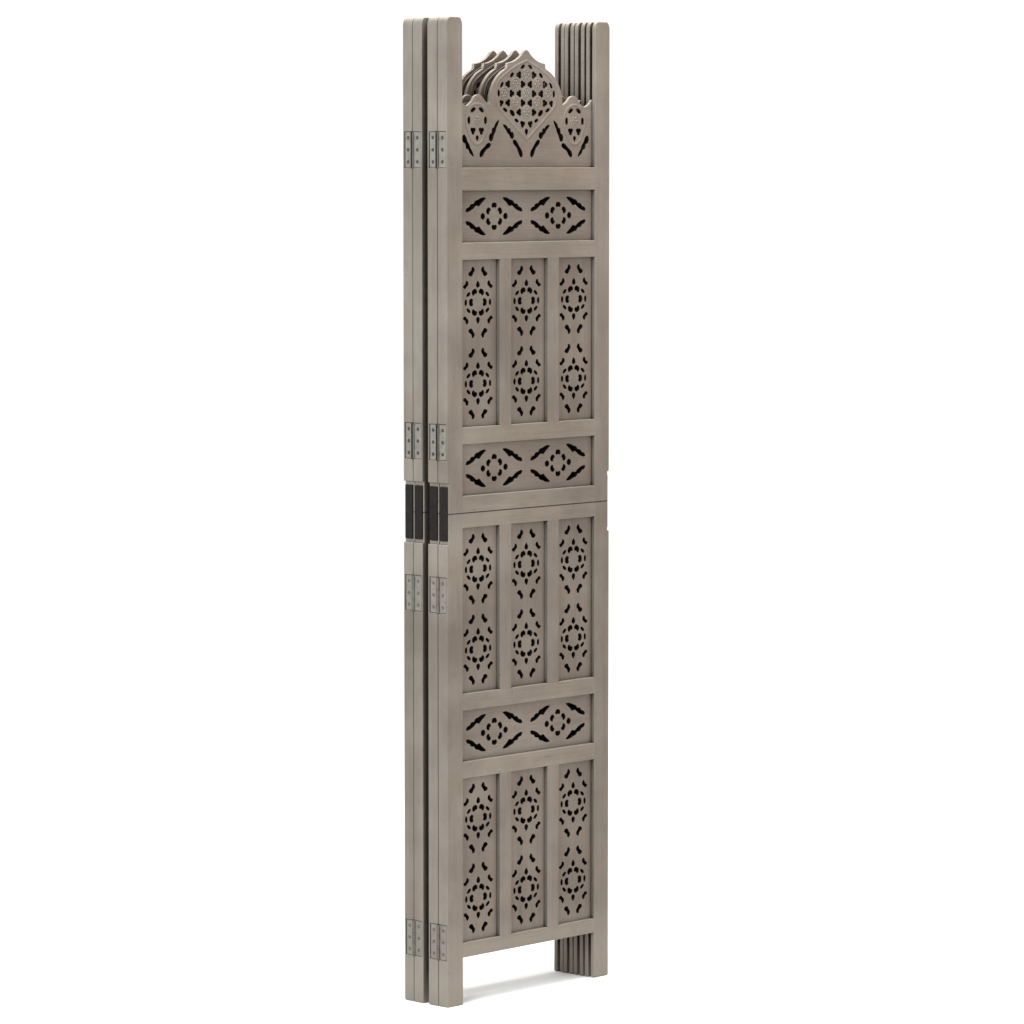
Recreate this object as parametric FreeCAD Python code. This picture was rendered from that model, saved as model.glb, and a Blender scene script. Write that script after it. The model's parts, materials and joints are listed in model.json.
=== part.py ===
import FreeCAD, Part
import math
import os

# Frame of one panel, all sizes in millimetres
panel_width = 400.0
panel_thickness = 22.0
stile_width = 37.0
muntin_width = 28.0
bay_count = 3
foot_height = 80.0
end_rail_height = 25.0
rail_height = 28.5
top_rail_height = 38.0
upright_opening = 278.0
frieze_opening = 86.0
horn_height = 50.0
horn_chamfer = 4.0

# Boards, and the grooves that hold them and the tenons
board_thickness = 6.0
board_play = 0.1
groove_depth = 9.0
groove_end_gap = 1.0

# Crest board: a middle arch, a lobe on each side of it, and a scallop at each stile, by the span
crest_height = 197.5
crest_dip_height = 108.5
arch_width_share = 0.546
lobe_width_share = 0.166
lobe_rise = 12.5
scallop_rise = 9.0
arch_tip_shares = (0.06, 0.965)
arch_hollow_shares = (0.24, 0.82)
arch_shoulder_shares = (0.515, 0.74)
arch_step_shares = (0.535, 0.635)
arch_flank_shares = (0.84, 0.43)
lobe_bulge_shares = (0.64, 0.72)
scallop_bulge_shares = (0.42, 0.2)

# Pierced lattice of the crest's medallion, a rhombus of rosettes, by the crest's height
medallion_rows = 3
medallion_height_share = 0.468
rosette_pitch_share = 0.158
star_reach_share = 0.0355

# Slanted openings of the crest, as shares of half the span and of the dip height
crest_slash_belly = 9.0
crest_slash_shares = (
    ((0.94, 0.48), (0.785, 0.17)),
    ((0.69, 0.18), (0.54, 0.355)),
    ((0.54, 0.41), (0.41, 0.72)),
    ((0.35, 0.66), (0.2, 0.455)),
    ((0.196, 0.4), (0.06, 0.18)),
)

# Slanted openings of a frieze board, as shares of half the motif pitch and half the opening
frieze_pitch_share = 0.483
frieze_slash_belly = 9.0
frieze_slash_shares = ((0.26, 0.7), (0.87, 0.21))

# Pierced rosettes of an upright board, by the width of its bay and the height of its opening
upright_pitch_share = 0.4874
ring_width_share = 0.367
ring_height_share = 0.216
ring_openings = 4
ring_reach = 6.0

# Folded stack of panels
face_gap = 1.0
front_splay_degrees = 0.5
middle_splay_degrees = 1.7

# Butt hinges let into the edges
hinge_height = 60.0
hinge_above_floor = 109.0
hinge_below_joint = 136.0
hinge_above_joint = 119.0
hinge_below_top = 218.0
axis_reach = 0.5
gain_depth = 2.4
gain_lip = 3.0
gain_play = 0.2
flap_thickness = 1.4
barrel_radius = 2.6
barrel_sides = 6
knuckle_count = 3
knuckle_gap = 0.3
pin_radius = 1.3
pin_flat_share = 0.84
pin_play = 0.05
bore_sides = 4

# Steel plates that join the two halves of a stile
plate_height = 90.0
plate_width = 17.0
plate_thickness = 3.0
plate_recess_depth = 4.0
plate_recess_play = 6.0

# Worked-out sizes
groove_width = board_thickness + 2 * board_play
groove_front = (panel_thickness - groove_width) / 2
groove_back = groove_front + groove_width
board_front = groove_front + board_play
seat_depth = groove_depth - groove_end_gap
inner_left = stile_width
inner_right = panel_width - stile_width
span = inner_right - inner_left
centre_x = panel_width / 2
bay_width = (span - (bay_count - 1) * muntin_width) / bay_count
panel_pitch = panel_thickness + face_gap
lower_stack = (
    ("rail", end_rail_height),
    ("uprights", upright_opening),
    ("rail", rail_height),
    ("frieze", frieze_opening),
    ("rail", rail_height),
    ("uprights", upright_opening),
    ("rail", end_rail_height),
)
upper_stack = (
    ("rail", rail_height),
    ("frieze", frieze_opening),
    ("rail", rail_height),
    ("uprights", upright_opening),
    ("rail", rail_height),
    ("frieze", frieze_opening),
    ("top rail", top_rail_height),
    ("crest", crest_height),
)
joint_level = foot_height + sum(height for kind, height in lower_stack)
top_level = joint_level + sum(height for kind, height in upper_stack) + horn_height
hinge_levels = (
    hinge_above_floor,
    joint_level - hinge_below_joint,
    joint_level + hinge_above_joint,
    top_level - hinge_below_top,
)


def block(low, high):
    """Return a box between two opposite corners."""
    size = [b - a for a, b in zip(low, high)]
    return Part.makeBox(*size, FreeCAD.Vector(*low))


def joined(shapes):
    """Fuse overlapping or touching solids into one clean solid."""
    return shapes[0].multiFuse(shapes[1:]).removeSplitter()


def trace(start, steps):
    """Return a closed outline in the board plane: one point is a line, two are an arc through the first."""
    edges = []
    here = FreeCAD.Vector(start[0], board_front, start[1])
    for step in steps:
        points = [FreeCAD.Vector(x, board_front, z) for x, z in step]
        if len(points) == 1:
            edges.append(Part.LineSegment(here, points[0]).toShape())
        else:
            edges.append(Part.Arc(here, points[0], points[1]).toShape())
        here = points[-1]
    return Part.Wire(edges)


def pierced_board(outline, openings):
    """Return a board of the given outline with every opening cut through it."""
    face = Part.makeFace([outline] + openings, "Part::FaceMakerBullseye")
    return face.extrude(FreeCAD.Vector(0, board_thickness, 0))


def polygon(points):
    """Return a closed straight-sided opening in the board plane."""
    return trace(points[-1], [(point,) for point in points])


def star(x, z, angle, reach):
    """Return a three-cornered opening with one corner pointing along the angle."""
    turns = [angle + k * math.tau / 3 for k in range(3)]
    return polygon([(x + reach * math.cos(t), z + reach * math.sin(t)) for t in turns])


def slash(start, end, belly):
    """Return a leaf-shaped opening from start to end, with its belly on the left of that way."""
    run = (end[0] - start[0], end[1] - start[1])
    length = math.hypot(*run)
    side = (-run[1] * belly / length, run[0] * belly / length)
    middle = ((start[0] + end[0]) / 2 + side[0], (start[1] + end[1]) / 2 + side[1])
    return polygon([start, end, middle])


def framed_board(left, right, bottom, top, openings):
    """Return a board between two sides, reaching into the rail grooves above and below."""
    low = bottom - seat_depth
    high = top + seat_depth
    return pierced_board(polygon([(left, low), (right, low), (right, high), (left, high)]), openings)


def upright_board(bay, bottom):
    """Return one upright board with its two pierced rosettes."""
    bay_left = inner_left + bay * (bay_width + muntin_width)
    middle_x = bay_left + bay_width / 2
    middle_z = bottom + upright_opening / 2
    half_pitch = upright_pitch_share * upright_opening / 2
    half_ring = (ring_width_share * bay_width / 2, ring_height_share * upright_opening / 2)
    openings = []
    for centre_z in (middle_z - half_pitch, middle_z + half_pitch):
        for k in range(ring_openings):
            angle = k * math.tau / ring_openings
            x = middle_x + half_ring[0] * math.cos(angle)
            z = centre_z + half_ring[1] * math.sin(angle)
            openings.append(star(x, z, angle, ring_reach))
    left_seat = seat_depth if bay == 0 else -board_play
    right_seat = seat_depth if bay == bay_count - 1 else -board_play
    left = bay_left - left_seat
    right = bay_left + bay_width + right_seat
    return framed_board(left, right, bottom, bottom + upright_opening, openings)


def frieze_board(bottom):
    """Return one frieze board, with four slanted openings round each of its two motifs."""
    middle_z = bottom + frieze_opening / 2
    (near_x, near_z), (far_x, far_z) = frieze_slash_shares
    half_pitch = frieze_pitch_share * span / 2
    half_height = frieze_opening / 2
    openings = []
    for motif_x in (centre_x - half_pitch, centre_x + half_pitch):
        for across in (-1, 1):
            for up in (-1, 1):
                near = (motif_x + across * near_x * half_pitch, middle_z + up * near_z * half_height)
                far = (motif_x + across * far_x * half_pitch, middle_z + up * far_z * half_height)
                openings.append(slash(near, far, frieze_slash_belly * across * up))
    left = inner_left - seat_depth
    right = inner_right + seat_depth
    return framed_board(left, right, bottom, bottom + frieze_opening, openings)


def crest_outline(bottom):
    """Return the crest's outline, drawn for the right half and mirrored to the left."""
    half_arch = arch_width_share * span / 2
    arch_rise = crest_height - crest_dip_height
    dip = bottom + crest_dip_height
    half_lobe = lobe_width_share * span / 2
    lobe_x = half_arch + half_lobe
    scallop_x = lobe_x + half_lobe
    edge_x = span / 2
    scallop_run = edge_x - scallop_x

    def arch(shares):
        """Return a place on the middle arch from its shares of half the width and of the rise."""
        return (shares[0] * half_arch, dip + shares[1] * arch_rise)

    def lobe(way):
        """Return the bulge of the lobe on its inner or outer side."""
        return (lobe_x + way * lobe_bulge_shares[0] * half_lobe, dip + lobe_bulge_shares[1] * lobe_rise)

    scallop = (
        scallop_x + scallop_bulge_shares[0] * scallop_run,
        dip + scallop_bulge_shares[1] * scallop_rise,
    )
    right_half = [
        (arch(arch_tip_shares),),
        (arch(arch_hollow_shares), arch(arch_shoulder_shares)),
        (arch(arch_step_shares),),
        (arch(arch_flank_shares), (half_arch, dip)),
        (lobe(-1),),
        ((lobe_x, dip + lobe_rise),),
        (lobe(1),),
        ((scallop_x, dip),),
        (scallop,),
        ((edge_x, dip + scallop_rise),),
        ((edge_x + seat_depth, dip + scallop_rise),),
        ((edge_x + seat_depth, bottom - seat_depth),),
    ]
    tip = (0, bottom + crest_height)
    starts = [tip] + [step[-1] for step in right_half[:-1]]
    left_half = [step[:-1] + (start,) for step, start in zip(right_half, starts)]
    low_left = (-edge_x - seat_depth, bottom - seat_depth)
    mirrored = [tuple((-x, z) for x, z in step) for step in reversed(left_half)]
    steps = right_half + [(low_left,)] + mirrored
    return trace(
        (centre_x, tip[1]),
        [tuple((centre_x + x, z) for x, z in step) for step in steps],
    )


def crest_board(bottom):
    """Return the crest board with its medallion lattice and slanted openings."""
    openings = []
    rosette_pitch = rosette_pitch_share * crest_height
    star_reach = star_reach_share * crest_height
    step_x = rosette_pitch * math.cos(math.tau / 12)
    step_z = rosette_pitch * math.sin(math.tau / 12)
    star_radius = rosette_pitch / math.sqrt(3)
    for i in range(medallion_rows):
        for j in range(medallion_rows):
            x = centre_x + (i - j) * step_x
            z = bottom + medallion_height_share * crest_height + (i + j) * step_z
            if i - j < medallion_rows - 1:
                openings.append(star(x + star_radius, z, 0, star_reach))
            if j - i < medallion_rows - 1:
                openings.append(star(x - star_radius, z, math.pi, star_reach))
    half_span = span / 2
    for ends in crest_slash_shares:
        for across in (-1, 1):
            start, end = [
                (centre_x + across * x * half_span, bottom + z * crest_dip_height) for x, z in ends
            ]
            openings.append(slash(start, end, crest_slash_belly * across))
    return pierced_board(crest_outline(bottom), openings)


def rail(bottom, height, open_below, open_above):
    """Return a rail with stub tenons, grooved on each edge that holds boards."""
    top = bottom + height
    web_bottom = bottom + groove_depth * open_below
    web_top = top - groove_depth * open_above
    shapes = [block((inner_left, 0, web_bottom), (inner_right, panel_thickness, web_top))]
    lips = ((0, groove_front), (groove_back, panel_thickness))
    for low, high, is_open in ((bottom, web_bottom, open_below), (web_top, top, open_above)):
        if is_open:
            shapes += [block((inner_left, y0, low), (inner_right, y1, high)) for y0, y1 in lips]
    tenon_left = inner_left - seat_depth
    tenon_right = inner_right + seat_depth
    shapes.append(block((tenon_left, groove_front, web_bottom), (tenon_right, groove_back, web_top)))
    return joined(shapes)


def muntin(bay, bottom, top):
    """Return the muntin on the left of a bay, a plain bar between two rails."""
    right = inner_left + bay * (bay_width + muntin_width)
    return block((right - muntin_width, 0, bottom), (right, panel_thickness, top))


def stack_pieces(stack, level):
    """Return the rails, top rail, muntins and boards of one half, each kind in a list."""
    pieces = {"rails": [], "top_rail": [], "muntins": [], "frieze_boards": [], "upright_boards": []}
    pieces["crest_board"] = []
    for place, (kind, height) in enumerate(stack):
        if kind in ("rail", "top rail"):
            open_below = place > 0
            open_above = place < len(stack) - 1
            slot = "rails" if kind == "rail" else "top_rail"
            pieces[slot].append(rail(level, height, open_below, open_above))
        elif kind == "frieze":
            pieces["frieze_boards"].append(frieze_board(level))
        elif kind == "crest":
            pieces["crest_board"].append(crest_board(level))
        else:
            pieces["upright_boards"] += [upright_board(bay, level) for bay in range(bay_count)]
            pieces["muntins"] += [muntin(bay, level, level + height) for bay in range(1, bay_count)]
        level += height
    return pieces


def edge_block(side, face, depths, reaches, levels):
    """Return a box given by depths in from an outer edge and reaches from the front or back face."""
    xs = sorted(d if side == "left" else panel_width - d for d in depths)
    ys = sorted(r if face == "front" else panel_thickness - r for r in reaches)
    return block((xs[0], ys[0], levels[0]), (xs[1], ys[1], levels[1]))


def stile(side, half, hinge_face):
    """Return half of a stile, with its groove, plate recess and any hinge gains."""
    bottom, top = (0, joint_level) if half == "lower" else (joint_level, top_level)
    body = edge_block(side, "front", (0, stile_width), (0, panel_thickness), (bottom, top))
    if half == "upper":
        corners = [e for e in body.Edges if e.BoundBox.ZMin == top and e.BoundBox.XLength == 0]
        body = body.makeChamfer(horn_chamfer, corners)
    groove = (stile_width - groove_depth, stile_width)
    cuts = [edge_block(side, "front", groove, (groove_front, groove_back), (bottom, top))]
    recess_half = plate_height / 2 + plate_recess_play
    recess = (joint_level - recess_half, joint_level + recess_half)
    cuts.append(edge_block(side, "front", (0, plate_recess_depth), (0, panel_thickness), recess))
    if hinge_face:
        reach = (0, panel_thickness - gain_lip)
        for level in hinge_levels:
            gain = (level - hinge_height / 2 - gain_play, level + hinge_height / 2 + gain_play)
            if bottom < level < top:
                cuts.append(edge_block(side, hinge_face, (0, gain_depth), reach, gain))
    return body.cut(cuts)


def joining_plate(side):
    """Return the steel plate that lies in the recess over the joint of a stile."""
    depths = (plate_recess_depth - plate_thickness, plate_recess_depth)
    margin = (panel_thickness - plate_width) / 2
    levels = (joint_level - plate_height / 2, joint_level + plate_height / 2)
    return edge_block(side, "front", depths, (margin, panel_thickness - margin), levels)


def ring_face(x, y, z, radius, sides):
    """Return a flat polygon outline about a hinge axis, with a flat side facing across the panel."""
    turns = [(k + 1 / 2) * math.tau / sides for k in range(sides + 1)]
    return Part.makePolygon(
        [FreeCAD.Vector(x + radius * math.cos(t), y + radius * math.sin(t), z) for t in turns]
    )


def axis_place(side, face):
    """Return the place of a hinge axis beside the given edge and face of a panel."""
    x = -axis_reach if side == "left" else panel_width + axis_reach
    y = -face_gap / 2 if face == "front" else panel_thickness + face_gap / 2
    return x, y


def hinge_flap(side, face, level):
    """Return one flap of a hinge: the back panel has the middle knuckles, the front panel the others."""
    x, y = axis_place(side, face)
    low = level - hinge_height / 2
    depths = (gain_depth - flap_thickness, gain_depth)
    clear = math.sqrt((barrel_radius + knuckle_gap) ** 2 - (depths[0] + axis_reach) ** 2)
    reaches = (clear - face_gap / 2, panel_thickness - gain_lip - gain_play)
    shapes = [edge_block(side, face, depths, reaches, (low, low + hinge_height))]
    bore_radius = (pin_radius + pin_play) / math.cos(math.pi / bore_sides)
    pitch = hinge_height / knuckle_count
    first = 1 if face == "front" else 0
    for k in range(first, knuckle_count, 2):
        levels = (low + k * pitch + knuckle_gap / 2, low + (k + 1) * pitch - knuckle_gap / 2)
        shapes.append(edge_block(side, face, depths, (-face_gap / 2, clear), levels))
        rings = [
            ring_face(x, y, levels[0], barrel_radius, barrel_sides),
            ring_face(x, y, levels[0], bore_radius, bore_sides),
        ]
        face_ring = Part.makeFace(rings, "Part::FaceMakerBullseye")
        shapes.append(face_ring.extrude(FreeCAD.Vector(0, 0, levels[1] - levels[0])))
    return joined(shapes)


def hinge_pin(side, face, level):
    """Return the pin of a hinge, a round rod with four flats, as long as the hinge is tall."""
    x, y = axis_place(side, face)
    low = level - hinge_height / 2
    flat = pin_radius * pin_flat_share
    rod = Part.makeCylinder(pin_radius, hinge_height, FreeCAD.Vector(x, y, low))
    return rod.common(block((x - flat, y - flat, low), (x + flat, y + flat, low + hinge_height)))


def swing(side, degrees):
    """Return the turn of the next panel about the hinge axis behind a panel."""
    x, y = axis_place(side, "back")
    centre = FreeCAD.Vector(x, y, 0)
    turn = FreeCAD.Rotation(FreeCAD.Vector(0, 0, 1), degrees)
    return FreeCAD.Placement(FreeCAD.Vector(), turn, centre)


def moved(shapes, placement):
    """Return copies of the shapes, carried to a panel's place, as one compound."""
    copies = [shape.copy() for shape in shapes]
    for shape in copies:
        shape.Placement = placement.multiply(shape.Placement)
    return Part.makeCompound(copies)


# Places of the four panels, from front to back, and the hinge lines between them
next_panel = FreeCAD.Placement(FreeCAD.Vector(0, panel_pitch, 0), FreeCAD.Rotation())
places = {"a": FreeCAD.Placement()}
places["b"] = swing("left", front_splay_degrees).multiply(next_panel)
places["c"] = places["b"].multiply(swing("right", -middle_splay_degrees)).multiply(next_panel)
places["d"] = places["c"].multiply(next_panel)
hinge_lines = (("a", "b", "left"), ("b", "c", "right"), ("c", "d", "left"))

# Pieces that are alike in every panel
lower = stack_pieces(lower_stack, foot_height)
upper = stack_pieces(upper_stack, joint_level)
alike = {
    "lower_rails": lower["rails"],
    "upper_rails": upper["rails"],
    "top_rail": upper["top_rail"],
    "muntins": lower["muntins"] + upper["muntins"],
    "crest_board": upper["crest_board"],
    "frieze_boards": lower["frieze_boards"] + upper["frieze_boards"],
    "upright_boards": lower["upright_boards"] + upper["upright_boards"],
    "joining_plates": [joining_plate("left"), joining_plate("right")],
}

# All nodes
nodes = {}
for name, place in places.items():
    gains = {side: "back" for front, back, side in hinge_lines if front == name}
    gains.update({side: "front" for front, back, side in hinge_lines if back == name})
    for side in ("left", "right"):
        for half in ("lower", "upper"):
            node = f"panel_{name}_{side}_stile_{half}"
            nodes[node] = moved([stile(side, half, gains.get(side))], place)
    for kind, shapes in alike.items():
        nodes[f"panel_{name}_{kind}"] = moved(shapes, place)
for front, back, side in hinge_lines:
    line = f"hinge_{front}{back}"
    front_flaps = [hinge_flap(side, "back", level) for level in hinge_levels]
    back_flaps = [hinge_flap(side, "front", level) for level in hinge_levels]
    pins = [hinge_pin(side, "back", level) for level in hinge_levels]
    nodes[f"{line}_front_flaps"] = moved(front_flaps, places[front])
    nodes[f"{line}_back_flaps"] = moved(back_flaps, places[back])
    nodes[f"{line}_pins"] = moved(pins, places[front])

# The origin is on the floor, in the middle of the folded screen
whole = Part.makeCompound(list(nodes.values())).BoundBox
home = FreeCAD.Placement(
    FreeCAD.Vector(-whole.Center.x, -whole.Center.y, -whole.ZMin), FreeCAD.Rotation()
)
os.makedirs("parts", exist_ok=True)
for node, shape in nodes.items():
    moved(shape.Solids, home).exportStep(f"parts/{node}.step")
for front, back, side in hinge_lines:
    x, y = axis_place(side, "back")
    place = home.multiply(places[front])
    axis = place.multVec(FreeCAD.Vector(x, y, 0))
    print(f"hinge axis {front}{back}: x {axis.x:.4f} y {axis.y:.4f}")
foot = home.multiply(places["b"]).multVec(FreeCAD.Vector(stile_width / 2, panel_thickness / 2, 0))
print(f"foot of panel b: x {foot.x:.4f} y {foot.y:.4f} z {foot.z:.4f}")
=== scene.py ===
import json
import logging
import math
from dataclasses import dataclass, replace
from enum import Enum, IntEnum
from typing import Callable, Iterable, Sequence

import bmesh
import bpy
import numpy as np
from mathutils import Color, Matrix, Vector

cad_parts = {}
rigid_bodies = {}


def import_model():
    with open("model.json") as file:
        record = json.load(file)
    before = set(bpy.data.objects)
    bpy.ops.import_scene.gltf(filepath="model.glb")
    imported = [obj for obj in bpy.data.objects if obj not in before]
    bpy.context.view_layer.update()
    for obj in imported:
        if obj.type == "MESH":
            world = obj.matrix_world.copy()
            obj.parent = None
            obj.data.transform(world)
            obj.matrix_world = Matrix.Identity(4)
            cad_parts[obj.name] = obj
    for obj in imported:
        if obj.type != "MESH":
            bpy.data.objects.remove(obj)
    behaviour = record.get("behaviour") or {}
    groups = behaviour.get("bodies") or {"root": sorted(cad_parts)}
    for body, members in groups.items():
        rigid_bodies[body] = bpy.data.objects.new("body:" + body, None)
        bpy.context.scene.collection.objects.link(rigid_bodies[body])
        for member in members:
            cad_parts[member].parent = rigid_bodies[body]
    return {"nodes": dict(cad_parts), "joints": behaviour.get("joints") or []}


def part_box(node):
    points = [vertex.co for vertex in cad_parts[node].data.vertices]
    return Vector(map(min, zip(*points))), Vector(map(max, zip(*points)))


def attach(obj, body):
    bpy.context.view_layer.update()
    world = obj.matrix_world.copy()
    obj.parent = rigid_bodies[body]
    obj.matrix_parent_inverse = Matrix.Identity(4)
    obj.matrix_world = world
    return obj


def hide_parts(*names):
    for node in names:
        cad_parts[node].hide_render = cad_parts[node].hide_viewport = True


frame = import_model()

# Sizes are in millimetres and angles in degrees where nothing else is said. A panel's own plane has X from
# its left edge, Y from its front face and Z from the floor; drawings of boards use X and Z alone. WELD is in
# metres. Edges of bars that come nearer than TOUCH lie on each other.
MM = 0.001
WELD = 1e-5
TOUCH = 1.0
PANELS = ("a", "b", "c", "d")

Point = tuple[float, float]
Loop = list[Point]
Tone = tuple[int, int, int]
Inputs = dict[str | int, object]
Material = bpy.types.Material
Mesh = bpy.types.Mesh
Socket = bpy.types.NodeSocket

# Most of a noise's strength lies between these.
NOISE_RANGE: Point = (0.3, 0.7)
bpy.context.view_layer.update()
log = logging.getLogger("folding_screen")


def linear(tone: Tone) -> tuple[float, ...]:
    """Return a screen's red, green and blue, from 0 to 255, as the linear colour that sockets hold."""
    return (*Color([channel / 255 for channel in tone]).from_srgb_to_scene_linear(), 1.0)


@dataclass(frozen=True)
class Span:
    """A stretch along one axis."""

    low: float
    high: float

    @classmethod
    def between(cls, first: float, second: float) -> "Span":
        """Return the stretch between two places in either order."""
        return cls(min(first, second), max(first, second))

    @property
    def middle(self) -> float:
        """Half-way between the ends."""
        return (self.low + self.high) / 2

    @property
    def length(self) -> float:
        """Distance between the ends."""
        return self.high - self.low

    @property
    def metres(self) -> Point:
        """Both ends in metres."""
        return self.low * MM, self.high * MM

    def grown(self, by: float) -> "Span":
        """Return the stretch made longer at both ends."""
        return Span(self.low - by, self.high + by)

    def inside(self, other: "Span") -> "Span":
        """Return the part that lies in another stretch too."""
        return Span(max(self.low, other.low), min(self.high, other.high))


@dataclass(frozen=True)
class Noise:
    """A cloudy noise: clouds in a metre, finer layers, and the share of strength that each of those keeps."""

    per_metre: float
    detail: float
    rough: float


class NodeSheet:
    """A node tree that is filled one node at a time."""

    def __init__(self, tree: bpy.types.NodeTree) -> None:
        """Keep the tree to fill."""
        self.tree = tree

    def feed(self, socket: Socket, value: object) -> None:
        """Link another node's output to a socket, or set the socket's own value.

        Args:
            socket: The input to fill.
            value: An output socket, or a plain value.
        """
        if isinstance(value, Socket):
            self.tree.links.new(value, socket)
        else:
            socket.default_value = value

    def add(self, kind: str, inputs: Inputs | None = None, out: str | int = 0, **settings: object) -> Socket:
        """Add a node.

        Args:
            kind: Blender's name for the node type.
            inputs: Values or output sockets by the name or number of the input.
            out: Name or number of the output that is wanted.
            settings: Properties of the node itself.

        Returns:
            That output of the new node.
        """
        node = self.tree.nodes.new(kind)
        for key, value in settings.items():
            setattr(node, key, value)
        for key, value in (inputs or {}).items():
            self.feed(node.inputs[key], value)
        return node.outputs[out]

    def math(self, operation: str, *values: object) -> Socket:
        """Return the result of a named sum of values or output sockets."""
        return self.add("ShaderNodeMath", dict(enumerate(values)), operation=operation)


class ShaderSheet(NodeSheet):
    """The node tree of a material."""

    def __init__(self, name: str) -> None:
        """Start a material, and bring the piece's own coordinates in metres.

        Args:
            name: Name of the material.
        """
        self.material = bpy.data.materials.new(name)
        self.material.use_nodes = True
        super().__init__(self.material.node_tree)
        self.place = self.add("ShaderNodeTexCoord", out="Object")

    def stretched(self, scale: Sequence[float]) -> Socket:
        """Return the piece's own coordinates, stretched by a scale for each axis."""
        return self.add("ShaderNodeMapping", {"Vector": self.place, "Scale": scale}, out="Vector")

    def attribute(self, name: str) -> Socket:
        """Return a named value of the mesh, which is 0 where the mesh has none."""
        return self.add("ShaderNodeAttribute", attribute_name=name, out="Fac")

    def height(self) -> Socket:
        """Return the height above the floor, in metres."""
        return self.add("ShaderNodeSeparateXYZ", {0: self.place}, out="Z")

    def upwards(self) -> Socket:
        """Return how far the surface faces upwards, from -1 to 1."""
        normal = self.add("ShaderNodeNewGeometry", out="Normal")
        return self.add("ShaderNodeSeparateXYZ", {0: normal}, out="Z")

    def noise(self, vector: Socket, kind: Noise) -> Socket:
        """Return the strength of a noise at some coordinates, from 0 to 1."""
        inputs = {"Vector": vector, "Scale": kind.per_metre, "Detail": kind.detail, "Roughness": kind.rough}
        return self.add("ShaderNodeTexNoise", inputs)

    def spread(self, value: Socket, low: float, high: float, to: Point = (0, 1)) -> Socket:
        """Return a value stretched from one range to another, and held inside it."""
        inputs = {"Value": value, "From Min": low, "From Max": high, "To Min": to[0], "To Max": to[1]}
        return self.add("ShaderNodeMapRange", inputs)

    def blend(self, share: object, first: object, second: object) -> Socket:
        """Return a mix of two tones or colour sockets, with a share of the second."""
        pair = [linear(c) if isinstance(c, tuple) else c for c in (first, second)]
        return self.add("ShaderNodeMix", {0: share, 6: pair[0], 7: pair[1]}, 2, data_type="RGBA")

    def bump(self, height: Socket, depth: float, strength: float = 0.5) -> Socket:
        """Return the normal of a surface raised by a height, where 1 stands for a depth in millimetres."""
        inputs = {"Height": height, "Distance": depth * MM, "Strength": strength}
        return self.add("ShaderNodeBump", inputs, out="Normal")

    def finished(self, surface: Inputs) -> Material:
        """Fill the surface shader.

        Args:
            surface: Values or output sockets by the name of the input.

        Returns:
            The material.
        """
        for name, value in surface.items():
            self.feed(self.tree.nodes["Principled BSDF"].inputs[name], value)
        return self.material


class Grain(Enum):
    """Way that the fibres of a piece run, as the stretch of each axis."""

    UPRIGHT = (1.0, 1.0, 0.04)
    LEVEL = (0.04, 1.0, 1.0)


@dataclass(frozen=True)
class Patches:
    """A tone that lies over another in patches of a noise: from where, to where and how much."""

    tone: Tone
    noise: Noise
    reach: Point
    share: float

    def over(self, sheet: ShaderSheet, colour: Socket) -> Socket:
        """Return a colour with the patches over it."""
        strength = sheet.spread(sheet.noise(sheet.place, self.noise), *self.reach, (0.0, self.share))
        return sheet.blend(strength, colour, self.tone)


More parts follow.
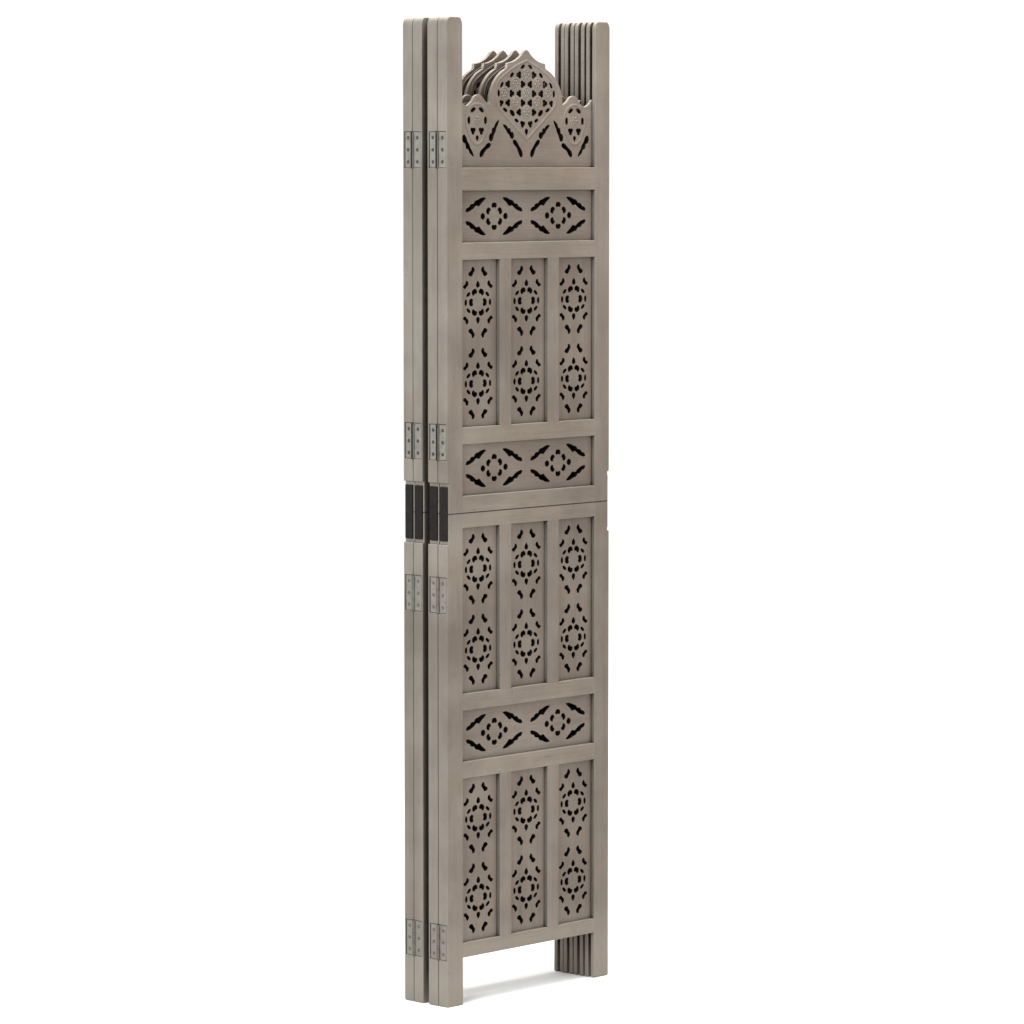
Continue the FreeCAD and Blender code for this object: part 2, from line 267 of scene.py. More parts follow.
@dataclass(frozen=True)
class WashedWood:
    """Hardwood under a thin grey wash: fibres, bands, pores, stains, and clouds where the wash is thicker."""

    name: str
    grain: Grain
    dark: Tone = (86, 77, 70)
    light: Tone = (108, 98, 90)
    wash: Patches = Patches((118, 109, 100), Noise(8.0, 5.0, 0.55), (0.42, 0.7), 0.55)
    warm: Patches = Patches((103, 88, 77), Noise(17.0, 3.0, 0.5), (0.5, 0.75), 0.5)
    stain: Patches = Patches((72, 63, 55), Noise(3.4, 4.0, 0.6), (0.44, 0.66), 0.5)
    fibres: Noise = Noise(420.0, 4.0, 0.6)
    bands: Noise = Noise(46.0, 5.0, 0.62)
    fibre_share: float = 0.45
    tone_range: Point = (0.26, 0.74)
    # The wash grows paler towards the foot.
    paler_foot: Span = Span(40.0, 140.0)
    paler_foot_share: float = 0.75
    pore: Tone = (58, 50, 44)
    pores: Noise = Noise(900.0, 2.0, 0.5)
    pore_range: Point = (0.33, 0.26)
    specks: Noise = Noise(150.0, 2.0, 0.5)
    speck_range: Point = (0.7, 0.76)
    mark_share: float = 0.4
    # Pale dust on faces that look up, which is also a painted highlight of the light from above.
    dust: Tone = (146, 138, 127)
    dust_and_light_range: Point = (0.35, 0.95)
    dust_and_light_share: float = 0.6
    # Painted shade in corners, recesses and gaps, which is also the dark dirt of the joint line.
    painted_shade_and_joint_dirt: Tone = (9, 7, 5)
    painted_shade_reach: float = 60.0
    nook_rays: int = 6
    nook_range: Point = (0.56, 0.24)
    nook_share: float = 0.97
    unshaded_foot: float = 60.0
    joint: float = 0.0
    joint_width: float = 1.2
    joint_share: float = 0.8
    # Dark sawn wood on the walls of the openings, made near black with painted shade.
    sawn: Tone = (20, 12, 8)
    sawn_and_shade_share: float = 0.94
    roughness: Point = (0.86, 0.66)
    dull_range: Point = (0.0, 0.9)
    gloss: Point = (0.3, 0.01)
    relief: float = 0.2

    def painted_nook_shade(self, sheet: ShaderSheet) -> Socket:
        """Return the share of painted shade in corners, recesses and gaps, which fades out towards the foot.

        Args:
            sheet: The material's tree.

        Returns:
            The share.
        """
        inputs = {"Distance": self.painted_shade_reach * MM}
        light = sheet.add("ShaderNodeAmbientOcclusion", inputs, samples=self.nook_rays, out="AO")
        grimy = sheet.spread(light, *self.nook_range, (0.0, self.nook_share))
        return sheet.math("MULTIPLY", grimy, sheet.spread(sheet.height(), 0.0, self.unshaded_foot * MM))

    def joint_line(self, sheet: ShaderSheet) -> Socket:
        """Return the share of dark dirt along the joint between the two halves of a panel."""
        away = sheet.math("ABSOLUTE", sheet.math("SUBTRACT", sheet.height(), self.joint * MM))
        return sheet.spread(away, self.joint_width * MM, self.joint_width / 2 * MM, (0.0, self.joint_share))

    def build(self) -> Material:
        """Build the finish.

        Returns:
            The material.
        """
        sheet = ShaderSheet(self.name)
        along = sheet.stretched(self.grain.value)
        fibre = sheet.noise(along, self.fibres)
        band = sheet.math("MULTIPLY", sheet.noise(along, self.bands), 1.0 - self.fibre_share)
        mixed = sheet.math("ADD", sheet.math("MULTIPLY", fibre, self.fibre_share), band)
        colour = sheet.blend(sheet.spread(mixed, *self.tone_range), self.dark, self.light)
        for patches in (self.wash, self.warm, self.stain):
            colour = patches.over(sheet, colour)
        # Paler towards the foot.
        low, high = self.paler_foot.metres
        rubbed = sheet.spread(sheet.height(), high, low, (0.0, self.paler_foot_share))
        colour = sheet.blend(rubbed, colour, self.wash.tone)
        pores = sheet.spread(sheet.noise(along, self.pores), *self.pore_range)
        specks = sheet.spread(sheet.noise(sheet.place, self.specks), *self.speck_range)
        marks = sheet.math("MULTIPLY", sheet.math("MAXIMUM", pores, specks), self.mark_share)
        colour = sheet.blend(marks, colour, self.pore)
        # Faces that look up turn paler: dust, and a painted highlight of the light from above.
        dusty_and_lit = sheet.spread(sheet.upwards(), *self.dust_and_light_range, (0.0, self.dust_and_light_share))
        colour = sheet.blend(dusty_and_lit, colour, self.dust)
        # Painted shade: corners, recesses and gaps darken where little light reaches them, and the joint line
        # is dark dirt.
        shade = sheet.math("MAXIMUM", self.painted_nook_shade(sheet), self.joint_line(sheet))
        colour = sheet.blend(shade, colour, self.painted_shade_and_joint_dirt)
        # The walls of the openings are dark sawn wood, made near black with painted shade.
        inside = sheet.math("MULTIPLY", sheet.attribute("sawn"), sheet.attribute("deep"))
        colour = sheet.blend(sheet.math("MULTIPLY", inside, self.sawn_and_shade_share), colour, self.sawn)
        # Reflection is cut where shade is painted and inside the openings.
        dull = sheet.math("MAXIMUM", inside, shade)
        return sheet.finished({
            "Base Color": colour,
            "Roughness": sheet.spread(mixed, *NOISE_RANGE, self.roughness),
            "Specular IOR Level": sheet.spread(dull, *self.dull_range, self.gloss),
            "Normal": sheet.bump(sheet.math("SUBTRACT", fibre, pores), self.relief),
        })


@dataclass(frozen=True)
class PaintedSteel:
    """Steel that was washed over with the wood, and twice in the lower half.

    The grey paint is rubbed off in patches, and where a mesh is marked as rubbed, partly as painted shade.
    """

    name: str
    paint: Tone = (103, 96, 88)
    thin: Tone = (89, 82, 75)
    bare: Tone = (56, 49, 44)
    # Dark crest of a knuckle: bare steel, and painted shade of the gap between the leaves.
    rubbed: Tone = (22, 18, 15)
    clouds: Noise = Noise(90.0, 5.0, 0.6)
    cloud_range: Point = (0.35, 0.65)
    rubs: Noise = Noise(420.0, 4.0, 0.65)
    rub_range: Point = (0.62, 0.7)
    repainted: Span = Span(740.0, 800.0)
    left_bare: float = 0.45
    bare_metal: float = 0.7
    gloss: Point = (0.5, 0.06)
    roughness: Point = (0.62, 0.48)
    relief: float = 0.12

    def build(self) -> Material:
        """Build the finish.

        Returns:
            The material.
        """
        sheet = ShaderSheet(self.name)
        cloud = sheet.noise(sheet.place, self.clouds)
        rub = sheet.spread(sheet.noise(sheet.place, self.rubs), *self.rub_range)
        colour = sheet.blend(sheet.spread(cloud, *self.cloud_range), self.paint, self.thin)
        bareness = sheet.spread(sheet.height(), *self.repainted.metres, (self.left_bare, 1.0))
        worn = sheet.math("MULTIPLY", rub, bareness)
        colour = sheet.blend(worn, colour, self.bare)
        # Painted shade: a knuckle's marked crest is darkened and its reflection cut, as bare steel and as the
        # shaded gap between the leaves.
        crest = sheet.math("MULTIPLY", sheet.attribute("rubbed"), bareness)
        return sheet.finished({
            "Base Color": sheet.blend(crest, colour, self.rubbed),
            "Specular IOR Level": sheet.spread(crest, 0.0, 1.0, self.gloss),
            "Metallic": sheet.math("MULTIPLY", worn, self.bare_metal),
            "Roughness": sheet.spread(cloud, *NOISE_RANGE, self.roughness),
            "Normal": sheet.bump(sheet.math("SUBTRACT", cloud, worn), self.relief),
        })


@dataclass(frozen=True)
class DarkSteel:
    """Browned steel with a film of rust in patches, which may be painted over in the lower half."""

    name: str
    brown: Tone = (26, 21, 19)
    black: Tone = (17, 14, 13)
    rust: Tone = (48, 36, 29)
    paint: Tone = (96, 89, 82)
    clouds: Noise = Noise(60.0, 6.0, 0.62)
    cloud_range: Point = (0.35, 0.65)
    specks: Noise = Noise(520.0, 3.0, 0.6)
    speck_range: Point = (0.55, 0.75)
    rust_range: Point = (0.45, 0.6)
    rust_share: float = 0.7
    overpaint: float = 0.0
    repainted: Span = Span(740.0, 800.0)
    metal: float = 0.0
    shine: float = 0.1
    roughness: Point = (0.42, 0.66)
    relief: float = 0.15

    def build(self) -> Material:
        """Build the finish.

        Returns:
            The material.
        """
        sheet = ShaderSheet(self.name)
        cloud = sheet.noise(sheet.place, self.clouds)
        speck = sheet.noise(sheet.place, self.specks)
        colour = sheet.blend(sheet.spread(cloud, *self.cloud_range), self.brown, self.black)
        film = sheet.spread(cloud, *self.rust_range, (0.0, self.rust_share))
        rusty = sheet.math("MULTIPLY", sheet.spread(speck, *self.speck_range), film)
        colour = sheet.blend(rusty, colour, self.rust)
        low, high = self.repainted.metres
        painted = sheet.spread(sheet.height(), high, low, (0.0, self.overpaint))
        return sheet.finished({
            "Base Color": sheet.blend(painted, colour, self.paint),
            "Metallic": self.metal,
            "Specular IOR Level": self.shine,
            "Roughness": sheet.spread(speck, *NOISE_RANGE, self.roughness),
            "Normal": sheet.bump(speck, self.relief),
        })


@dataclass(frozen=True)
class PaleFloor:
    """Matt pale studio floor."""

    name: str
    tone: Tone = (252, 252, 251)
    specks: Noise = Noise(3.0, 2.0, 0.5)
    roughness: Point = (0.86, 0.94)

    def build(self) -> Material:
        """Build the finish.

        Returns:
            The material.
        """
        sheet = ShaderSheet(self.name)
        rough = sheet.spread(sheet.noise(sheet.place, self.specks), *NOISE_RANGE, self.roughness)
        return sheet.finished({"Base Color": linear(self.tone), "Roughness": rough})


@dataclass(frozen=True)
class Block:
    """A box in a panel's own plane."""

    x: Span
    y: Span
    z: Span

    @classmethod
    def around(cls, points: Iterable[Vector]) -> "Block":
        """Return the box around some points."""
        cells = np.array([tuple(p) for p in points])
        return cls(*(Span(float(a), float(b)) for a, b in zip(cells.min(axis=0), cells.max(axis=0))))


def islands(mesh: bmesh.types.BMesh) -> list[list[bmesh.types.BMVert]]:
    """Split a mesh into its separate solids.

    Args:
        mesh: A mesh with its doubles merged.

    Returns:
        The corners of each solid.
    """
    left = set(mesh.verts)
    found = []
    while left:
        queue = [left.pop()]
        solid = []
        while queue:
            corner = queue.pop()
            solid.append(corner)
            near = {edge.other_vert(corner) for edge in corner.link_edges} & left
            left -= near
            queue.extend(near)
        found.append(solid)
    return found


@dataclass(frozen=True)
class PanelPlace:
    """Place of one panel: its own plane carried into the frame."""

    name: str
    to_frame: Matrix

    @classmethod
    def read(cls, name: str, width: float, thickness: float) -> "PanelPlace":
        """Read a panel's place from its top rail, whose corners lie evenly about its middle.

        Args:
            name: The panel's letter.
            width: Width of a panel.
            thickness: Thickness of a panel.

        Returns:
            The panel's place.
        """
        rail = frame["nodes"][f"panel_{name}_top_rail"].data
        corners = np.array(sorted({(round(v.co.x, 6), round(v.co.y, 6)) for v in rail.vertices}))
        middle = corners.mean(axis=0)
        along = np.linalg.eigh(np.cov((corners - middle).T))[1][:, -1]
        turn = Matrix.Rotation(math.atan(along[1] / along[0]), 4, "Z")
        centred = Matrix.Translation((-width / 2, -thickness / 2, 0.0))
        return cls(name, Matrix.Translation((*middle, 0.0)) @ turn @ Matrix.Scale(MM, 4) @ centred)

    @property
    def body(self) -> str:
        """Name of the panel's body."""
        return f"panel_{self.name}"

    def node(self, kind: str) -> str:
        """Return the name of one of the panel's CAD nodes."""
        return f"{self.body}_{kind}"

    def solids(self, node: str) -> list[Block]:
        """Box every solid of a CAD node in the panel's own plane.

        Args:
            node: Name of the node.

        Returns:
            The boxes, from the floor up and from left to right.
        """
        mesh = bmesh.new()
        mesh.from_mesh(frame["nodes"][node].data)
        bmesh.ops.remove_doubles(mesh, verts=mesh.verts, dist=WELD)
        mesh.transform(self.to_frame.inverted())
        boxes = [Block.around(v.co for v in solid) for solid in islands(mesh)]
        mesh.free()
        return sorted(boxes, key=lambda box: (round(box.z.low), box.x.low))


@dataclass(frozen=True)
class PanelLayout:
    """Bars and boards of a panel, read from the front panel's solids."""

    width: float
    thickness: float
    inner: Span
    rails: list[Block]
    muntins: list[Block]
    uprights: list[Block]
    friezes: list[Block]
    crest: Block

    @classmethod
    def read(cls) -> "PanelLayout":
        """Read the front panel, which the others repeat.

        Returns:
            Its layout.
        """
        left, right = (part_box(f"panel_a_{side}_stile_lower") for side in ("left", "right"))
        width = (right[1].x - left[0].x) / MM
        thickness = (right[1].y - left[0].y) / MM
        front = PanelPlace.read("a", width, thickness)
        inner = Span((left[1].x - left[0].x) / MM, (right[0].x - left[0].x) / MM)
        rails = ("lower_rails", "upper_rails", "top_rail")
        others = ("muntins", "upright_boards", "frieze_boards", "crest_board")
        low, high, top = (front.solids(front.node(kind)) for kind in rails)
        muntins, uprights, friezes, crest = (front.solids(front.node(kind)) for kind in others)
        return cls(width, thickness, inner, low + high + top, muntins, uprights, friezes, crest[0])

    @property
    def joint(self) -> float:
        """Height of the joint between the two halves of a panel, where two rails meet."""
        feet = [rail.z.low for rail in self.rails]
        return min(r.z.high for r in self.rails if min(abs(r.z.high - foot) for foot in feet) < TOUCH)


def turn_outwards(mesh: Mesh) -> None:
    """Merge a mesh's doubles and turn all its faces outwards.

    Args:
        mesh: The mesh, which is changed.
    """
    work = bmesh.new()
    work.from_mesh(mesh)
    bmesh.ops.remove_doubles(work, verts=work.verts, dist=WELD)
    bmesh.ops.recalc_face_normals(work, faces=work.faces)
    work.to_mesh(mesh)
    work.free()


def plain_mesh(name: str, corners: Sequence[Sequence[float]], faces: Sequence[Sequence[int]]) -> Mesh:
    """Make a mesh with its faces turned outwards.

    Args:
        name: Name of the mesh.
        corners: Places of its corners.
        faces: Numbers of each face's corners.

    Returns:
        The mesh.
    """
    mesh = bpy.data.meshes.new(name)
    mesh.from_pydata([tuple(c) for c in corners], [], [tuple(f) for f in faces])
    turn_outwards(mesh)
    return mesh


def ring_faces(rings: int, count: int) -> list[list[int]]:
    """Return the faces between rings of corners that follow each other.

    Args:
        rings: Number of rings.
        count: Corners of each.

    Returns:
        The four corners of every face.
    """
    faces = []
    for near in range(0, (rings - 1) * count, count):
        for k in range(count):
            after = (k + 1) % count
            faces.append([near + k, near + after, near + count + after, near + count + k])
    return faces


def turns(count: int) -> list[float]:
    """Return angles that share out a whole round evenly, in radians."""
    return [k * math.tau / count for k in range(count)]


def around(radius: float, turn: float, middle: Point = (0.0, 0.0)) -> Point:
    """Return the point at a distance and an angle in radians from a middle."""
    return middle[0] + radius * math.cos(turn), middle[1] + radius * math.sin(turn)


def rectangle(wide: Span, tall: Span) -> Loop:
    """Return the corners of a rectangle, with its inside on the left of its line."""
    return [(wide.low, tall.low), (wide.high, tall.low), (wide.high, tall.high), (wide.low, tall.high)]


def joined(name: str, meshes: Sequence[Mesh]) -> Mesh:
    """Return one mesh that holds several, and remove those.

    Args:
        name: Name of the new mesh.
        meshes: Meshes in one set of coordinates.

    Returns:
        The joined mesh.
    """
    work = bmesh.new()
    for mesh in meshes:
        work.from_mesh(mesh)
        bpy.data.meshes.remove(mesh)
    whole = bpy.data.meshes.new(name)
    work.to_mesh(whole)
    work.free()
    return whole


def show(name: str, mesh: Mesh, material: Material, body: str, slot: str, *nodes: str) -> None:
    """Put a finished mesh into the scene on its body.

    Args:
        name: Name of the piece.
        mesh: The mesh, in the frame's metres.
        material: Finish of the whole piece.
        body: CAD body that it rides on.
        slot: The record's material slot, which is not used.
        nodes: CAD nodes that it stands for.
    """
    mesh.name = name
    mesh.materials.clear()
    mesh.materials.append(material)
    piece = bpy.data.objects.new(name, mesh)
    bpy.context.scene.collection.objects.link(piece)
    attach(piece, body)
    if nodes:
        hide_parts(*nodes)
    log.info("%s: %d faces on %s", name, len(mesh.polygons), body)


def placed(mesh: Mesh, place: PanelPlace) -> Mesh:
    """Carry a copy of a mesh from a panel's own plane into the frame.

    Args:
        mesh: The mesh, which stays as it is.
        place: Place of the panel.

    Returns:
        The copy.
    """
    copy = mesh.copy()
    copy.transform(place.to_frame)
    return copy


def poly_curve(name: str, loops: Iterable[Loop], closed: bool = True) -> bpy.types.Object:
    """Return an unlinked curve of straight stretches, drawn flat.

    Args:
        name: Name of the curve.
        loops: Points of each line.
        closed: Whether each line comes back to its start.

    Returns:
        The curve's object.
    """
    curve = bpy.data.curves.new(name, "CURVE")
    curve.dimensions = "3D"
    for loop in loops:
        spline = curve.splines.new("POLY")
        spline.points.add(len(loop) - 1)
        for corner, (across, up) in zip(spline.points, loop):
            corner.co = (across, up, 0.0, 1.0)
        spline.use_cyclic_u = closed
    return bpy.data.objects.new(name, curve)


class Cut(IntEnum):
    """Shape of an opening that is sawn through a board."""

    STAR = 0
    SLIT = 1
    DROP = 2
    BEAN = 3
    HEART = 4
    ROUND = 5
    LEAF = 6
    LEAF_TWIN = 7
    FROND = 8
    FROND_TWIN = 9
    PLUME = 10
    PLUME_TWIN = 11

    @property
    def twin(self) -> "Cut":
        """The same shape turned over, which is another shape only if its two sides differ."""
        return Cut(self ^ 1) if self >= Cut.LEAF else self


def polar(count: int, radius: Callable[[float], float]) -> Loop:
    """Return a closed line whose distance from the middle follows a rule."""
    return [around(radius(turn), turn) for turn in turns(count)]


@dataclass(frozen=True)
class CutShapes:
    """Outlines of the openings, each drawn about its middle and pointing along X.

    A size is a length and a width. A leaf's shares are places along it and half widths there.
    """

    star_reach: float = 6.7
    star_waist: float = 4.0
    star_arms: int = 3
    star_points: int = 18
    slit_size: Point = (11.0, 5.6)
    slit_points: int = 12
    drop_size: Point = (11.5, 9.2)
    drop_peak: float = 0.85
    drop_taper: float = 0.8
    drop_points: int = 14
    heart_side: tuple[Point, ...] = (
        (4.3, 3.0), (2.7, 5.3), (-0.6, 6.6), (-3.6, 5.8), (-4.9, 3.8), (-4.4, 1.7),
    )
    heart_front: float = 4.6
    heart_notch: float = 3.3
    round_radius: float = 5.3
    round_points: int = 16
    leaf_size: Point = (17.5, 9.6)
    leaf_bend: float = 2.2
    leaf_shares: tuple[Point, ...] = (
        (0.03, 0.5), (0.1, 0.8), (0.22, 0.96), (0.36, 0.84), (0.5, 0.68), (0.64, 0.72), (0.78, 0.86),
        (0.9, 0.78), (0.97, 0.45),
    )
    frond_size: Point = (54.0, 11.6)
    frond_outer_shares: tuple[Point, ...] = (
        (0.03, 0.3), (0.1, 0.62), (0.18, 0.84), (0.27, 0.88), (0.36, 0.9), (0.44, 1.1), (0.51, 0.98),
        (0.575, 0.58), (0.66, 0.92), (0.73, 0.88), (0.795, 0.46), (0.88, 0.66), (0.95, 0.5),
    )
    frond_inner_shares: tuple[Point, ...] = (
        (0.05, 0.12), (0.13, 0.32), (0.21, 0.46), (0.28, 0.66), (0.35, 0.95), (0.41, 0.9), (0.465, 0.34),
        (0.53, 0.3), (0.6, 0.5), (0.68, 0.64), (0.77, 0.66), (0.86, 0.58), (0.95, 0.42),
    )
    plume_size: Point = (32.0, 12.0)
    plume_bend: float = 1.6
    plume_outer_shares: tuple[Point, ...] = (
        (0.03, 0.6), (0.12, 1.0), (0.24, 1.0), (0.33, 0.44), (0.5, 0.96), (0.6, 0.4), (0.76, 0.6),
        (0.93, 0.28),
    )
    plume_inner_shares: tuple[Point, ...] = (
        (0.04, 0.5), (0.16, 0.76), (0.32, 0.6), (0.5, 0.74), (0.64, 0.48), (0.8, 0.48), (0.94, 0.24),
    )
    bean_radius: float = 20.0
    bean_width: float = 6.6
    bean_sweep: float = 37.0
    bean_points: int = 14

    def star(self) -> Loop:
        """Return the opening between three rounds, with its arms between them."""
        rise, arms = self.star_reach - self.star_waist, self.star_arms / 2
        return polar(self.star_points, lambda turn: self.star_waist + rise * abs(math.cos(arms * turn)))

    def slit(self) -> Loop:
        """Return the short slit with round ends."""
        length, width = self.slit_size
        return [(length / 2 * math.cos(t), width / 2 * math.sin(t)) for t in turns(self.slit_points)]

    def drop(self) -> Loop:
        """Draw the drop, with its tip along X.

        Returns:
            Its outline.
        """
        half, swell = self.drop_size[0] / 2, self.drop_size[1] / 2 / self.drop_peak
        angles = turns(self.drop_points)
        sides = [swell * math.sin(t) * math.sin(t / 2) ** self.drop_taper for t in angles]
        return [(half * math.cos(t), side) for t, side in zip(angles, sides)]

    def heart(self) -> Loop:
        """Return the opening of two lobes, with the notch between them behind it."""
        under = [(x, -y) for x, y in self.heart_side[::-1]]
        return [(self.heart_front, 0.0), *self.heart_side, (-self.heart_notch, 0.0), *under]

    def bent_leaf(self, size: Point, bend: float, lower: Sequence[Point], upper: Sequence[Point]) -> Loop:
        """Return a leaf along a bent rib, from its stalk to its tip and back.

        Args:
            size: Length and width of the leaf.
            bend: How far the middle of its rib lies aside.
            lower: Shares of its lower side.
            upper: Shares of its upper side.

        Returns:
            The leaf's outline.
        """
        length, half = size[0], size[1] / 2
        sides = []
        for shares, way in ((lower, -1.0), (upper, 1.0)):
            rib = [4 * bend * run * (1 - run) for run, swell in shares]
            edge = [y + way * half * swell for y, (run, swell) in zip(rib, shares)]
            sides.append([(length * (run - 0.5), y) for y, (run, swell) in zip(edge, shares)])
        return [(-length / 2, 0.0)] + sides[0] + [(length / 2, 0.0)] + sides[1][::-1]

    def bean(self) -> Loop:
        """Draw the slit bent round a ring, with the ring's middle behind it.

        Returns:
            Its outline.
        """
        half = math.radians(self.bean_sweep) / 2
        line = []
        for turn in turns(self.bean_points):
            radius = self.bean_radius + self.bean_width / 2 * math.cos(turn)
            line.append(around(radius, half * math.sin(turn), (-self.bean_radius, 0.0)))
        return line

    def loops(self) -> dict[Cut, Loop]:
        """Draw every opening.

        Returns:
            The outlines, with the wood on the left of each line.
        """
        drawn = {
            Cut.STAR: self.star(),
            Cut.SLIT: self.slit(),
            Cut.DROP: self.drop(),
            Cut.BEAN: self.bean(),
            Cut.HEART: self.heart(),
            Cut.ROUND: polar(self.round_points, lambda t: self.round_radius),
        }
        leaves = {
            Cut.LEAF: (self.leaf_size, self.leaf_bend, self.leaf_shares, self.leaf_shares),
            Cut.FROND: (self.frond_size, 0.0, self.frond_inner_shares, self.frond_outer_shares),
            Cut.PLUME: (self.plume_size, self.plume_bend, self.plume_inner_shares, self.plume_outer_shares),
        }
        for cut, leaf in leaves.items():
            drawn[cut] = self.bent_leaf(*leaf)
            drawn[cut.twin] = [(x, -y) for x, y in drawn[cut][::-1]]
        return {cut: loop[::-1] for cut, loop in drawn.items()}


@dataclass(frozen=True)
class Opening:
    """One opening of a board: its shape, place, turn and stretch."""

    cut: Cut
    x: float
    z: float
    turn: float = 0.0
    long: float = 1.0
    wide: float = 1.0

    def shifted(self, x: float, z: float) -> "Opening":
        """Return the same opening somewhere else."""
        return replace(self, x=self.x + x, z=self.z + z)

    def across(self) -> "Opening":
        """Return its mirror image from left to right."""
        return replace(self, cut=self.cut.twin, x=-self.x, turn=180.0 - self.turn)

    def over(self) -> "Opening":
        """Return its mirror image from top to bottom."""
        return replace(self, cut=self.cut.twin, z=-self.z, turn=-self.turn)


def both_sides(openings: Iterable[Opening]) -> list[Opening]:
    """Return openings and their mirror images from left to right."""
    return [image for opening in openings for image in (opening, opening.across())]


def four_ways(openings: Iterable[Opening]) -> list[Opening]:
    """Return openings mirrored from left to right and from top to bottom."""
    return [image for opening in both_sides(openings) for image in (opening, opening.over())]


def leaf_between(cut: Cut, size: Point, start: Point, end: Point, width: float) -> Opening:
    """Return a leaf from one point to another.

    Args:
        cut: The leaf's shape.
        size: Length and width of the plain shape.
        start: Its stalk.
        end: Its tip.
        width: Across its widest teeth.

    Returns:
        The opening.
    """
    run = (end[0] - start[0], end[1] - start[1])
    turn = math.degrees(math.atan2(run[1], run[0]))
    middle = ((start[0] + end[0]) / 2, (start[1] + end[1]) / 2)
    return Opening(cut, *middle, turn, math.hypot(*run) / size[0], width / size[1])


class GeometrySheet(NodeSheet):
    """A Geometry Nodes tree with named inputs."""

    def __init__(self, name: str) -> None:
        """Start a tree that takes and gives geometry.

        Args:
            name: Name of the tree.
        """
        super().__init__(bpy.data.node_groups.new(name, "GeometryNodeTree"))
        self.identifiers: dict[str, str] = {}
        self.offer("NodeSocketGeometry", "Geometry")
        self.offer("NodeSocketMaterial", "Material")
        self.tree.interface.new_socket("Geometry", in_out="OUTPUT", socket_type="NodeSocketGeometry")
        self.source = self.tree.nodes.new("NodeGroupInput")

    def offer(self, kind: str, *names: str) -> None:
        """Add named inputs.

        Args:
            kind: Their socket type.
            names: Their names.
        """
        for name in names:
            socket = self.tree.interface.new_socket(name, in_out="INPUT", socket_type=kind)
            self.identifiers[name] = socket.identifier

    def given(self, name: str) -> Socket:
        """Return the socket that brings a named input."""
        return self.source.outputs[name]

    def shape(self, name: str) -> Socket:
        """Return the geometry of the object that a named input brings."""
        return self.add("GeometryNodeObjectInfo", {"Object": self.given(name)}, out="Geometry")

    def vector(self, x: object = 0.0, y: object = 0.0, z: object = 0.0) -> Socket:
        """Return a vector of three values or sockets."""
        return self.add("ShaderNodeCombineXYZ", {0: x, 1: y, 2: z})

    def attribute(self, name: str, kind: str) -> Socket:
        """Return a named value of the points, of a data type."""
        return self.add("GeometryNodeInputNamedAttribute", {"Name": name}, data_type=kind)

    def store(self, geometry: Socket, name: str, value: object) -> Socket:
        """Return a geometry whose points all have a named number, or the number that a socket brings."""
        inputs = {"Geometry": geometry, "Name": name, "Value": value}
        return self.add("GeometryNodeStoreNamedAttribute", inputs, data_type="FLOAT", domain="POINT")

    def swept(self, lines: Socket, section: Socket) -> Socket:
        """Return a section drawn along flat lines without any twist."""
        level = self.add("GeometryNodeSetCurveNormal", {"Curve": lines}, mode="Z_UP")
        return self.add("GeometryNodeCurveToMesh", {"Curve": level, "Profile Curve": section})

    def behind(self, front: Socket) -> Socket:
        """Return a copy of what is on a board's front, moved to its back by the input named Thickness."""
        down = self.vector(z=self.math("MULTIPLY", self.given("Thickness"), -1.0))
        return self.add("GeometryNodeTransform", {"Geometry": front, "Translation": down})

    def join(self, *parts: Socket) -> Socket:
        """Join geometries.

        Args:
            parts: The geometries.

        Returns:
            All of them as one.
        """
        node = self.tree.nodes.new("GeometryNodeJoinGeometry")
        for part in parts:
            self.tree.links.new(part, node.inputs[0])
        return node.outputs[0]

    def close(self, geometry: Socket) -> None:
        """End the tree: plain geometry with the material that was given.

        Args:
            geometry: What the tree has made.
        """
        real = self.add("GeometryNodeRealizeInstances", {0: geometry})
        inputs = {"Geometry": real, "Material": self.given("Material")}
        dressed = self.add("GeometryNodeSetMaterial", inputs)
        self.feed(self.tree.nodes.new("NodeGroupOutput").inputs[0], dressed)

    def grow(self, source: bpy.types.Object, **values: object) -> Mesh:
        """Run the tree on an object and return the result as a plain mesh.

        Args:
            source: Object whose geometry the tree takes; it is removed.
            values: Named inputs, with _ for each space.

        Returns:
            The mesh that the tree makes.
        """
        bpy.context.scene.collection.objects.link(source)
        nodes = source.modifiers.new("nodes", "NODES")
        nodes.node_group = self.tree
        for name, value in values.items():
            nodes[self.identifiers[name.replace("_", " ")]] = value
        ready = source.evaluated_get(bpy.context.evaluated_depsgraph_get())
        mesh = bpy.data.meshes.new_from_object(ready)
        source.modifiers.remove(nodes)
        bpy.data.objects.remove(source)
        return mesh


def point_cloud(name: str, points: Sequence[Sequence[float]]) -> bpy.types.Object:
    """Set one loose corner at each point.

    Args:
        name: Name of the mesh and its object.
        points: The points.

    Returns:
        An unlinked object.
    """
    mesh = bpy.data.meshes.new(name)
    mesh.from_pydata([tuple(point) for point in points], [], [])
    return bpy.data.objects.new(name, mesh)


def fill_attribute(mesh: Mesh, name: str, kind: str, values: Sequence[object]) -> None:
    """Give every corner of a mesh a named value.

    Args:
        mesh: The mesh.
        name: Name of the value.
        kind: Its data type.
        values: One for each corner.
    """
    attribute = mesh.attributes.new(name, kind, "POINT")
    field = "vector" if kind == "FLOAT_VECTOR" else "value"
    for item, value in zip(attribute.data, values):
        setattr(item, field, value)


def stood(mesh: Mesh, front: float) -> Mesh:
    """Turn a flat drawing's mesh up into a panel's own plane.

    Args:
        mesh: The mesh, which is changed.
        front: Depth of its face.

    Returns:
        The same mesh.
    """
    mesh.transform(Matrix.Translation((0.0, front, 0.0)) @ Matrix.Rotation(math.pi / 2, 4, "X"))
    turn_outwards(mesh)
    return mesh


